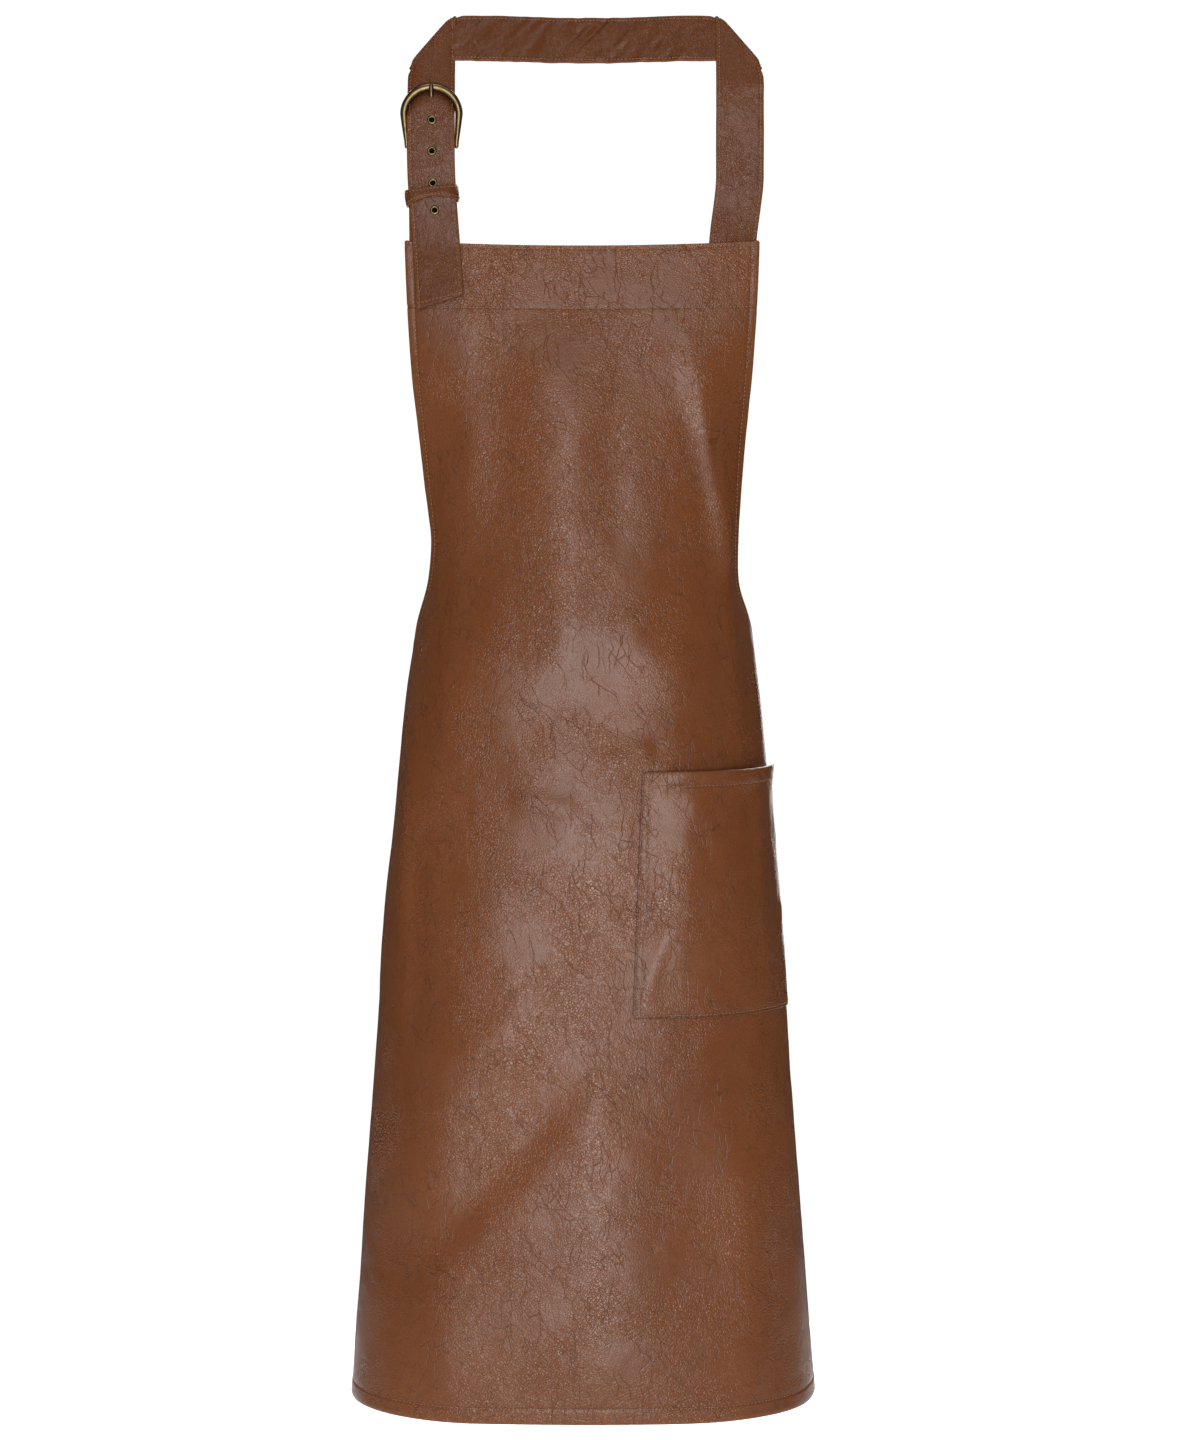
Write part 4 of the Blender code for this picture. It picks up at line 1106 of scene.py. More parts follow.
# ------------------------------------------------------------------ the pocket
@dataclass
class Pocket:
    """Hip pocket on the wearer's left, wrapped on to the hip and open at the top."""

    panel: Panel
    top: float = 0.5700
    bottom: float = 0.3550
    inner_top: float = 0.0530
    inner_bottom: float = 0.0450
    outer: float = 0.2400
    bulge: float = 0.0058
    hem: float = 0.0115
    edge_gap: float = 0.0005

    FOLDS = (
        Fold((0.22, 0.93), (0.42, 0.60), 0.05, 0.0012),
        Fold((0.06, 0.10), (0.16, 0.42), 0.04, 0.0010),
        Fold((0.60, 0.95), (0.66, 0.10), 0.06, 0.0022),
        Fold((0.80, 0.30), (0.95, 0.42), 0.04, 0.0012),
        Fold((0.10, 0.92), (0.30, 0.97), 0.02, -0.0012),
    )

    def flat(self, u: Array, v: Array) -> tuple[Array, Array]:
        """Flat places on the panel: u from the inner to the outer side, v from bottom to mouth."""
        inner = self.inner_bottom + (self.inner_top - self.inner_bottom) * v
        return inner + (self.outer - inner) * u, self.bottom + (self.top - self.bottom) * v

    def surface(self, u: Array, v: Array, stand: Any) -> tuple[Array, Array]:
        """Points and outward directions on the pocket at a distance outwards from its mid surface."""
        along, height = self.flat(u, v)
        swell = smooth(u, 0.0, 0.24) * (1.0 - smooth(u, 0.36, 0.86)) * smooth(v, 0.0, 0.5)
        lift = self.edge_gap + self.bulge * swell + 0.0016 * smooth(v, 0.78, 0.95)
        lip = 0.0030 * smooth(v, 0.90, 1.0) * smooth(u, 0.12, 0.5)
        small = 0.0004 * Ripple(21, 0.030).read(along, height) + 0.00025 * Ripple(23, 0.012).read(along, height)
        free = smooth(u, 0.0, 0.08) * (1 - smooth(u, 0.94, 1.0)) * smooth(v, 0.0, 0.08)
        for fold in self.FOLDS:
            small = small + fold.relief(u, v)
        return self.panel.surface(along, height, PANEL_T + lift + lip + small * free + stand)

    def build(self) -> bpy.types.Object:
        """Builds the pocket, its mouth hem and its stitching."""
        us = np.unique(np.concatenate([np.linspace(0, 1, 70), (0.006, 0.012, 0.018, 0.024, 0.030, 0.038, 0.985)]))
        mouth = 1.0 - self.hem / (self.top - self.bottom)
        marks = mouth + np.array((-0.010, -0.005, 0.0, 0.005, 0.010))
        vs = np.unique(np.concatenate([np.linspace(0, 1, 76), marks, (0.006, 0.012, 0.018, 0.99)]))
        u, v = np.meshgrid(us, vs)
        size_u, size_v = 0.190, self.top - self.bottom
        seam = np.exp(-(((v - mouth) * size_v / 0.0011) ** 2))
        for inset in (0.0022, 0.0072):
            seam = np.maximum(seam, np.exp(-(((u * size_u - inset) / 0.0011) ** 2)))
        seam = np.maximum(seam, np.exp(-((((1 - u) * size_u - 0.0022) / 0.0011) ** 2)))
        seam = np.maximum(seam, np.exp(-(((v * size_v - 0.0022) / 0.0011) ** 2)))
        edge = np.minimum(np.minimum(u, 1 - u) * size_u, np.minimum(v, 1 - v) * size_v)
        rim = np.exp(-((edge / 0.0016) ** 2))
        hemmed = smooth(v, mouth - 0.003, mouth + 0.003)
        front = PANEL_T / 2 - self.panel.groove * seam + 0.0002 * hemmed
        back = -PANEL_T / 2 - (PANEL_T + 0.0001) * hemmed * smooth(u, 0.0, 0.03) * (1 - smooth(u, 0.97, 1.0))
        top, _ = self.surface(u, v, front)
        bottom, _ = self.surface(u, v, back)
        finishes = self.panel.finishes
        # the pocket's sides and bottom put their rim into the seam mask, so the leather darkens there: painted shadow
        # along the pocket's edges; only the mouth keeps the lighter worn edge
        made = layered_sheet(
            "pocket_leather", top, bottom, self.panel.body, [finishes.leather, finishes.suede],
            {"rim": rim * smooth(v, 0.97, 1.0) * 0.5, "seam": np.maximum(seam * 0.8, rim * (1 - smooth(v, 0.97, 1.0)))},
        )
        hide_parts("hip_pocket", "pocket_mouth_hem")
        rows = {
            "pocket_mouth_stitches": (np.linspace(0.0, 1.0, 120), np.full(120, mouth)),
            "pocket_inner_stitches": (np.full(120, 0.0022 / size_u), np.linspace(0.008, 0.99, 120)),
            "pocket_inner_stitches_second": (np.full(120, 0.0072 / size_u), np.linspace(0.008, 0.99, 120)),
            "pocket_outer_stitches": (np.full(120, 1 - 0.0022 / size_u), np.linspace(0.008, 0.99, 120)),
            "pocket_bottom_stitches": (np.linspace(0.012, 0.988, 120), np.full(120, 0.0022 / size_v)),
            "pocket_corner_tack": (
                np.array((0.012, 0.060, 0.060, 0.012)), np.array((mouth, mouth, 0.985, mouth + 0.002)),
            ),
        }
        for name, (a, b) in rows.items():
            points, normals = self.surface(a, b, PANEL_T / 2 - self.panel.groove)
            StitchRow(name, self.panel.body).sew(points, normals, finishes.thread)
        return made


# ------------------------------------------------------------------ the neck strap
@dataclass
class NeckStrap:
    """One 40 mm strap: sewn behind the bib, folded at two mitres, round the nape, through the buckle to its tail."""

    form: WearerForm
    finishes: Finishes
    bow: float = 0.0120
    lean: float = 0.21
    tail_x: float = -0.1254
    seam_x: float = 0.1330
    tail_in: float = 0.9920
    tail_out: float = 0.9800
    columns: int = 33
    body: str = "apron"

    def __post_init__(self) -> None:
        """Works out the depths that the strap starts from."""
        self.bib_y = self.form.depth_at(LEFT_X, PANEL_HEIGHT)
        self.bar_y = self.bib_y - 0.00325
        lows = [self.form.depth_at(self.tail_x, 0.985) - 0.0085, self.form.depth_at(self.tail_x, 1.010) - 0.0068]
        bar, by = BAR_H, self.bar_y
        self.left_h = [
            0.970, 1.010, 1.040, 1.080, bar - 0.006, bar, bar + 0.021, bar + 0.034, bar + 0.0385, bar + 0.043,
            bar + 0.0475, bar + 0.054, bar + 0.070, LOOP_TOP,
        ]
        self.left_y = [
            *lows, self.bib_y - 0.0050, self.bib_y - 0.00675, by - 0.0062, by - 0.0066, by - 0.0073, by - 0.0078,
            by - 0.0073, by - 0.0034, by + 0.0020, by + 0.0023, self.loop_depth(bar + 0.070), self.loop_depth(LOOP_TOP),
        ]

    def loop_depth(self, height: float) -> float:
        """Depth of both sides of the loop above the buckle."""
        return self.bar_y + 0.0023 + self.lean * max(0.0, height - 1.1785)

    def follow_bib(self, x: float, middle: float, height: float) -> float:
        """Depth added so that the strap follows the curved bib from edge to edge."""
        share = 1.0 - float(smooth(height, PANEL_HEIGHT + 0.004, PANEL_HEIGHT + 0.030))
        if share <= 0.0:
            return 0.0
        return share * (self.form.depth_at(x, height) - self.form.depth_at(middle, height))

    def point(self, side: Side, share: float, height: float) -> Array:
        """A point of the strap's mid surface on one side of the loop; share is -1 to 1 from outer to inner edge."""
        if side is Side.RIGHT:
            middle = LEFT_X + (self.tail_x - LEFT_X) * (1.0 - float(smooth(height, 0.97, 1.12)))
            x = middle + share * STRAP_W / 2
            away = min(0.0205, abs(x - BUCKLE_X))
            shift = 0.02125 * (1.0 - math.sqrt(1.0 - (away / 0.02165) ** 2))
            level = height + shift * float(smooth(height, BAR_H + 0.008, BAR_H + 0.028))
            y = float(through(level, self.left_h, self.left_y))
        else:
            middle = self.seam_x + (RIGHT_X - self.seam_x) * float(smooth(height, PANEL_HEIGHT - 0.01, 1.10))
            x = middle - share * STRAP_W / 2
            behind = self.form.depth_at(self.seam_x, height) + PANEL_T * 1.5 + GAP * 2 + STRAP_T / 2 + 0.0008
            up = float(smooth(height, PANEL_HEIGHT + 0.004, 1.16))
            y = behind * (1.0 - up) + self.loop_depth(height) * up
        return np.array((x, y + self.follow_bib(x, middle, height), height))

    def upright(self, side: Side, low: float, high: float) -> tuple[Array, Array]:
        """A rung across a side of the loop, from its outer edge at height low to its inner one at height high."""
        points, normals = [], []
        d = 0.0010
        for share in np.linspace(-1, 1, self.columns):
            height = high + (low - high) * (0.5 - 0.5 * share)
            up = self.point(side, share, height + d) - self.point(side, share, height - d)
            across = self.point(side, share + 0.05, height) - self.point(side, share - 0.05, height)
            normal = unit(np.cross(across, up))
            points.append(self.point(side, share, height))
            normals.append(normal if normal[1] < 0 else -normal)
        return np.array(points), np.array(normals)

    def mitre(self, side: Side, count: int = 7) -> list[tuple[Array, Array]]:
        """Rungs round a mitre fold, from the front layer to the one behind."""
        sign = side.value
        middle = LEFT_X if side is Side.RIGHT else RIGHT_X
        low = np.array((middle + sign * STRAP_W / 2, 0.0, FOLD_LOW))
        high = np.array((middle - sign * STRAP_W / 2, 0.0, LOOP_TOP))
        outward = unit(np.array((sign * (LOOP_TOP - FOLD_LOW), 0.0, STRAP_W)))
        lean = unit(np.array((0.0, -1.0, self.lean)))
        radius = (STRAP_T + GAP) / 2
        made = []
        for k in range(1, count + 1):
            turn = math.pi * k / (count + 1)
            points, normals = [], []
            for share in np.linspace(-1, 1, self.columns):
                at = low + (high - low) * (0.5 + 0.5 * share)
                swell = 1.0 + 0.35 * math.sin(math.pi * (0.5 + 0.5 * share))
                centre = np.array((at[0], self.loop_depth(at[2]), at[2])) - lean * radius
                normal = lean * math.cos(turn) + outward * math.sin(turn) * swell
                points.append(centre + normal * radius)
                normals.append(unit(normal))
            made.append((np.array(points), np.array(normals)))
        return made

    def back_bow(self, x: float) -> float:
        """Backward bow of the back run."""
        away = min(1.0, abs(x - (LEFT_X + RIGHT_X) / 2) / 0.108)
        return self.bow * math.cos(math.pi * away / 2) ** 2

    def back(self, x_low: float, x_high: float, low: float, high: float) -> tuple[Array, Array]:
        """A rung across the back run, from its lower to its upper edge."""
        lean = unit(np.array((0.0, -1.0, self.lean)))
        points, normals = [], []
        for share in np.linspace(-1, 1, self.columns):
            part = 0.5 + 0.5 * share
            x, height = x_low + (x_high - x_low) * part, low + (high - low) * part
            slope = (self.back_bow(x + 0.001) - self.back_bow(x - 0.001)) / 0.002
            points.append(np.array((x, self.loop_depth(height) + self.back_bow(x), height)) - lean * (STRAP_T + GAP))
            normals.append(unit(np.array((-slope, 1.0, -self.lean))))
        return np.array(points), np.array(normals)

    def rungs(self) -> list[tuple[Array, Array, float]]:
        """Every rung in order from the bib seam to the tail's end, with how crumpled the strap is there."""
        right, left = Side.LEFT, Side.RIGHT
        made = [(*self.upright(right, h, h), 0.35) for h in np.arange(SEAM_LOW, 1.165, 0.003)]
        for k in np.linspace(0, 1, 12)[1:]:
            made.append((*self.upright(right, 1.165 + (FOLD_LOW - 1.165) * k, 1.165 + (LOOP_TOP - 1.165) * k), 0.4))
        made += [(p, n, 0.2) for p, n in self.mitre(right)]
        low, high = LOOP_TOP - STRAP_W, LOOP_TOP
        first = (RIGHT_X + STRAP_W / 2, RIGHT_X - STRAP_W / 2, FOLD_LOW, high)
        second = (RIGHT_X - STRAP_W / 2 - 0.006, RIGHT_X - STRAP_W / 2 - 0.010, low, high)
        third = (LEFT_X + STRAP_W / 2 + 0.006, LEFT_X + STRAP_W / 2 + 0.010, low, high)
        last = (LEFT_X - STRAP_W / 2, LEFT_X + STRAP_W / 2, FOLD_LOW, high)
        for k in np.linspace(0, 1, 12):
            ease = 1 - (1 - k) ** 1.6
            bottom = FOLD_LOW + (low - FOLD_LOW) * float(smooth(k, 0.0, 0.8))
            made.append((*self.back(first[0] + (second[0] - first[0]) * k, first[1] + (second[1] - first[1]) * k,
                                    bottom, high), 0.3 + 0.7 * ease))
        for k in np.linspace(0, 1, 180)[1:-1]:
            made.append((*self.back(second[0] + (third[0] - second[0]) * k, second[1] + (third[1] - second[1]) * k,
                                    low, high), 1.0))
        for k in np.linspace(0, 1, 12):
            bottom = low + (FOLD_LOW - low) * float(smooth(k, 0.2, 1.0))
            made.append((*self.back(third[0] + (last[0] - third[0]) * k, third[1] + (last[1] - third[1]) * k,
                                    bottom, high), 1.0 - 0.7 * k))
        made += [(p, n, 0.2) for p, n in reversed(self.mitre(left))]
        for k in np.linspace(1, 0, 12):
            made.append((*self.upright(left, 1.186 + (FOLD_LOW - 1.186) * k, 1.186 + (LOOP_TOP - 1.186) * k), 0.3))
        for h in np.concatenate([np.arange(1.1845, 0.999, -0.00125)]):
            made.append((*self.upright(left, h, h), 0.25))
        for k in np.linspace(0, 1, 9)[1:]:
            made.append((*self.upright(left, 0.9985 + (self.tail_out - 0.9985) * k,
                                       0.9985 + (self.tail_in - 0.9985) * k), 0.25))
        return made

    def rounded(self, points: Array) -> Array:
        """The strap with both ends of each mitre fold rounded off."""
        made = points.copy()
        for side in Side:
            sign = side.value
            middle = LEFT_X if side is Side.RIGHT else RIGHT_X
            for x, z, away, reach, pull in (
                (middle + sign * STRAP_W / 2, FOLD_LOW, (-sign, -0.40), 0.0052, 0.0026),
                (middle - sign * STRAP_W / 2, LOOP_TOP, (-sign * 0.55, -1.0), 0.0050, 0.0022),
            ):
                near = np.hypot(points[..., 0] - x, points[..., 2] - z)
                share = pull * np.exp(-((near / reach) ** 2)) / math.hypot(*away)
                made[..., 0] += share * away[0]
                made[..., 2] += share * away[1]
        return made

    def punch(self, piece: bpy.types.Object, holes: Sequence[tuple[Array, Array]], reach: float = 0.0032) -> None:
        """Opens the strap where the eyelets go through it; their flanges cover the cut.

        Args:
            piece: The strap.
            holes: Each eyelet's middle and axis, from the hem's middle.
            reach: How far from the middle a face is taken out.
        """
        mesh = piece.data
        work = bmesh.new()
        work.from_mesh(mesh)
        gone = set()
        for centre, axis in holes:
            middle, along = Vector(centre - NAPE), Vector(axis)
            for face in work.faces:
                away = face.calc_center_median() - middle
                depth = away.dot(along)
                if abs(depth) < 0.0022 and (away - along * depth).length < reach:
                    gone.add(face)
        bmesh.ops.delete(work, geom=list(gone), context="FACES")
        work.to_mesh(mesh)
        work.free()

    def build(self) -> bpy.types.Object:
        """Builds the strap and its stitching."""
        rungs = self.rungs()
        points = np.array([r[0] for r in rungs])
        normals = np.array([r[1] for r in rungs])
        points = self.rounded(points)
        crumple = np.array([r[2] for r in rungs])[:, None]
        steps = np.linalg.norm(np.diff(points[:, self.columns // 2], axis=0), axis=1)
        along = np.concatenate([[0.0], np.cumsum(steps)])
        across = np.linspace(-1, 1, self.columns)
        u, v = along[:, None] + 0 * across, across * STRAP_W / 2 + 0 * along[:, None]
        seam = np.exp(-(((STRAP_W / 2 - np.abs(v) - 0.0021) / 0.0012) ** 2))
        rim = np.exp(-(((STRAP_W / 2 - np.abs(v)) / 0.0014) ** 2))
        pillow = 0.00025 * (1 - (across * 0.96) ** 4)
        slant, beside = (u + v) * 0.707, (v - u) * 0.707
        wrinkle = 0.0013 * Ripple(31, 0.0048).read(slant, beside * 0.24)
        wrinkle = wrinkle + 0.0011 * Ripple(33, 0.0110).read(slant * 1.1, beside * 0.5)
        wrinkle = wrinkle * crumple * (1.0 - 0.5 * rim) * smooth(crumple, 0.22, 0.7)
        soft = 0.00025 * Ripple(35, 0.016).read(u, v)
        front = STRAP_T / 2 + pillow + soft - 0.00022 * seam
        top = points + normals * (front + wrinkle)[..., None]
        bottom = points - normals * (STRAP_T / 2 + pillow - 0.00022 * seam - wrinkle)[..., None]
        made = layered_sheet(
            "neck_strap_leather", top, bottom, self.body, [self.finishes.strap], {"rim": rim, "seam": seam * 0.7}
        )
        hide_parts("neck_strap")
        self.sew(top, bottom, across)
        return made

    def sew(self, top: Array, bottom: Array, across: Array) -> None:
        """Sews both edges on both faces, and the tail's end."""
        at = 1.0 - 0.0021 / (STRAP_W / 2)
        for word, share in (("outer", -at), ("inner", at)):
            for face, skin, other in (("front", top, bottom), ("back", bottom, top)):
                line = np.array([[np.interp(share, across, row[:, c]) for c in range(3)] for row in skin])
                under = np.array([[np.interp(share, across, row[:, c]) for c in range(3)] for row in other])
                StitchRow(f"strap_stitches_{word}_{face}", self.body, 0.0033, 0.0025, 0.00040).sew(
                    line, unit(line - under), self.finishes.thread
                )
        end = top[-3]
        StitchRow("strap_tail_stitches", self.body, 0.0033, 0.0025, 0.00040).sew(
            end, unit(end - bottom[-3]), self.finishes.thread
        )


# ------------------------------------------------------------------ buckle, its strap, keeper and eyelets
@dataclass
class BuckleStrap:
    """Short strap behind the bib, folded round the buckle's bar and stitched to itself."""

    strap: NeckStrap
    width: float = 0.0384
    thick: float = 0.0020
    bar_r: float = 0.00175
    fold_end: float = 1.0930

    def build(self) -> bpy.types.Object:
        """Builds the strap and the stitches that close its fold."""
        form, by, bar_y = self.strap.form, self.strap.bib_y, self.strap.bar_y
        radius = self.bar_r + GAP + self.thick / 2
        behind = by + PANEL_T * 1.5 + GAP * 2 + self.thick / 2 + 0.0008
        shift = behind - by
        back = [
            (form.depth_at(BUCKLE_X, SEAM_LOW) + shift, SEAM_LOW), (form.depth_at(BUCKLE_X, 1.020) + shift, 1.020),
            (behind, PANEL_HEIGHT + 0.004), (by + 0.0007, 1.080), (by - 0.00025, self.fold_end),
            (bar_y + 0.0015, BAR_H - 0.012), (bar_y + 0.0026, BAR_H - 0.005), (bar_y + radius, BAR_H),
        ]
        apart = self.thick + GAP + 0.0001
        round_bar = [
            (bar_y + radius * math.cos(math.radians(t)), BAR_H + radius * math.sin(math.radians(t)))
            for t in range(15, 181, 15)
        ]
        front = [
            (bar_y - 0.0026, BAR_H - 0.005), (bar_y + 0.0015 - apart, BAR_H - 0.012),
            (by - 0.00025 - apart, self.fold_end),
        ]
        line = np.array(back + round_bar + front)
        fine = [line[0]]
        for a, b in zip(line[:-1], line[1:]):
            cuts = max(1, int(np.hypot(*(b - a)) / 0.003))
            fine += [a + (b - a) * k / cuts for k in range(1, cuts + 1)]
        line = np.array(fine)
        step = unit(np.gradient(line, axis=0))
        across = np.linspace(-1, 1, 13)
        points, normals = [], []
        for (y, z), (dy, dz) in zip(line, step):
            xs = BUCKLE_X + across * self.width / 2
            ys = [y + self.strap.follow_bib(x, BUCKLE_X, z) for x in xs]
            points.append(np.stack([xs, ys, np.full(13, z)], -1))
            normals.append(np.tile(np.array((0.0, dz, -dy)), (13, 1)))
        points, normals = np.array(points), np.array(normals)
        edge = self.width / 2 * (1 - np.abs(across))
        seam = np.exp(-(((edge - 0.0021) / 0.0012) ** 2)) + 0 * points[..., 0]
        rim = np.exp(-((edge / 0.0014) ** 2)) + 0 * points[..., 0]
        half = self.thick / 2 - 0.0002 * seam
        top, bottom = points + normals * half[..., None], points - normals * half[..., None]
        finishes = self.strap.finishes
        made = layered_sheet(
            "buckle_strap_leather", top, bottom, self.strap.body, [finishes.strap], {"rim": rim, "seam": seam * 0.7}
        )
        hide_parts("buckle_strap")
        for word, share in (("outer", -0.89), ("inner", 0.89)):
            row = np.array([[np.interp(share, across, r[:, c]) for c in range(3)] for r in top[: len(back) * 4]])
            StitchRow(f"buckle_strap_stitches_{word}", self.strap.body, 0.0033, 0.0025, 0.00040).sew(
                row, np.tile(np.array((0.0, 1.0, 0.0)), (len(row), 1)), finishes.thread
            )
        return made


@dataclass
class Keeper:
    """Leather loop that holds the tail down."""

    strap: NeckStrap
    height: float = 1.0800
    band: float = 0.0125
    thick: float = 0.0018
    half: float = 0.0226
    corner: float = 0.0068
    corner_behind: float = 0.0040
    tilt: float = math.radians(7.0)
    x: float = -0.1325

    def build(self) -> bpy.types.Object:
        """Builds the loop and its two rows of stitches."""
        front = self.strap.bib_y - 0.0101 - self.thick / 2
        back = self.strap.bib_y + 0.0064 + self.thick / 2
        middle, deep = (front + back) / 2, (back - front) / 2
        outline = []
        for sx, sy, first in ((1, 1, 0), (-1, 1, 90), (-1, -1, 180), (1, -1, 270)):
            round_by = self.corner_behind if sy > 0 else self.corner
            flat_x, flat_y = self.half - round_by, deep - round_by
            for step in range(10):
                turn = math.radians(first + 10.0 * step)
                out = np.array((math.cos(turn), math.sin(turn)))
                outline.append((np.array((sx * flat_x, sy * flat_y)) + out * round_by, out))
            if sx == sy:
                for share in np.linspace(0.92, -0.92, 21):
                    outline.append((np.array((sx * share * flat_x, sy * deep)), np.array((0.0, float(sy)))))
        across = np.linspace(-0.5, 0.5, 9)
        points, normals = [], []
        for at, out in outline:
            bulge = max(0.0, -out[1]) * max(0.0, 1.0 - (at[0] / self.half) ** 2)
            row = []
            for z in across:
                arch = 0.0052 * bulge * (0.5 - z)
                row.append((at[0], at[1] - 0.0022 * bulge * (0.8 - z), z * self.band + arch))
            points.append(row)
            normals.append([(out[0], out[1], 0.0)] * len(across))
        points, normals = np.array(points), np.array(normals)
        c, s = math.cos(-self.tilt), math.sin(-self.tilt)
        turn = np.array(((c, 0.0, s), (0.0, 1.0, 0.0), (-s, 0.0, c)))
        points = points @ turn.T + np.array((self.x, middle, self.height))
        normals = normals @ turn.T
        edge = self.band * (0.5 - np.abs(across))
        seam = np.exp(-(((edge - 0.0019) / 0.0010) ** 2)) + 0 * points[..., 0]
        rim = np.exp(-((edge / 0.0012) ** 2)) + 0 * points[..., 0]
        half = self.thick / 2 + 0.00055 * (1.0 - (2.0 * across) ** 2) - 0.00025 * seam
        top, bottom = points + normals * half[..., None], points - normals * (self.thick / 2)
        finishes = self.strap.finishes
        made = layered_sheet(
            "keeper_leather", top, bottom, "keeper", [finishes.strap], {"rim": rim, "seam": seam * 0.7}, ring=True
        )
        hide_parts("strap_keeper")
        for word, z in (("upper", 0.5 - 0.0019 / self.band), ("lower", -0.5 + 0.0019 / self.band)):
            row = np.array([[np.interp(z, across, r[:, c]) for c in range(3)] for r in top])
            StitchRow(f"keeper_stitches_{word}", "keeper", 0.0031, 0.0024, 0.00038).sew(
                np.concatenate([row, row[:1]]), np.concatenate([normals[:, 4], normals[:1, 4]]), finishes.thread
            )
        return made


@dataclass
class Buckle:
    """Horseshoe frame, bar and prong."""

    strap: NeckStrap
    top: float = 0.0509
    half: float = 0.0243
    centre: float = 0.0270
    foot: float = 0.0219
    radius: float = 0.00345
    foot_radius: float = 0.0019
    forward: float = 0.0034
    ring: float = 0.0028

    def at(self, y: Any, z: Any, x: Any = 0.0) -> Array:
        """Points given from the middle of the bar."""
        y, z, x = np.broadcast_arrays(np.asarray(y, float), np.asarray(z, float), np.asarray(x, float))
        return np.stack([BUCKLE_X + x, self.strap.bar_y + y, BAR_H + z], -1)

    def blade(self, z: Any) -> Array:
        """Middle of the prong's straight blade."""
        return self.at(self.ring - 0.2075 * np.asarray(z, float), z)

    def build(self) -> list[bpy.types.Object]:
        """Builds the three castings."""
        brass = self.strap.finishes.brass
        xs, zs = [-self.foot, -0.0222, -0.0229, -0.0236], [-0.0012, 0.0040, 0.0100, 0.0180]
        turns = np.linspace(math.pi, 0, 49)
        xs = np.array(xs + list(self.half * np.cos(turns)) + [0.0236, 0.0229, 0.0222, self.foot])
        arch = list(self.centre + (self.top - self.centre) * np.sin(turns))
        zs = np.array(zs + arch + [0.018, 0.010, 0.004, -0.0012])
        path = self.at(-self.forward / self.top * zs, zs, xs)
        radii = self.foot_radius + (self.radius - self.foot_radius) * smooth(zs, -0.002, 0.034)
        pieces = [
            sweep(
                "buckle_frame_brass", path, radii, "buckle", brass, 24, 0.74,
                lambda out: np.clip(-out[:, 1] * 0.9 + 0.1, 0.0, 1.0),
            )
        ]
        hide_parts("buckle_frame")
        reach = self.foot - self.foot_radius - GAP - 0.0008
        bar = self.at(0.0, 0.0, np.linspace(-reach, reach, 9))
        pieces.append(sweep("buckle_bar_brass", bar, np.full(9, 0.00175), "buckle", brass, 20))
        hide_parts("buckle_bar")
        turns = np.radians(np.linspace(150, 360, 22))
        hook = self.at(self.ring * np.cos(turns), self.ring * np.sin(turns))
        zs = np.array((0.002, 0.004, 0.007, 0.010, 0.015, 0.020, 0.030, 0.040, 0.0415, 0.0440, 0.0490, 0.0512))
        sizes = np.array((1.0, 1.0, 1.1, 1.2, 1.3, 1.4, 1.4, 1.5, 2.0, 2.2, 2.2, 1.9)) * MM
        path = np.concatenate([hook, self.blade(zs)])
        radii = np.concatenate([np.full(22, 0.0010), sizes])
        pieces.append(
            sweep(
                "buckle_prong_brass", path, radii, "prong", brass, 20, 1.0,
                lambda out: np.clip(-out[:, 1], 0.0, 1.0),
            )
        )
        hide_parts("buckle_prong")
        return pieces


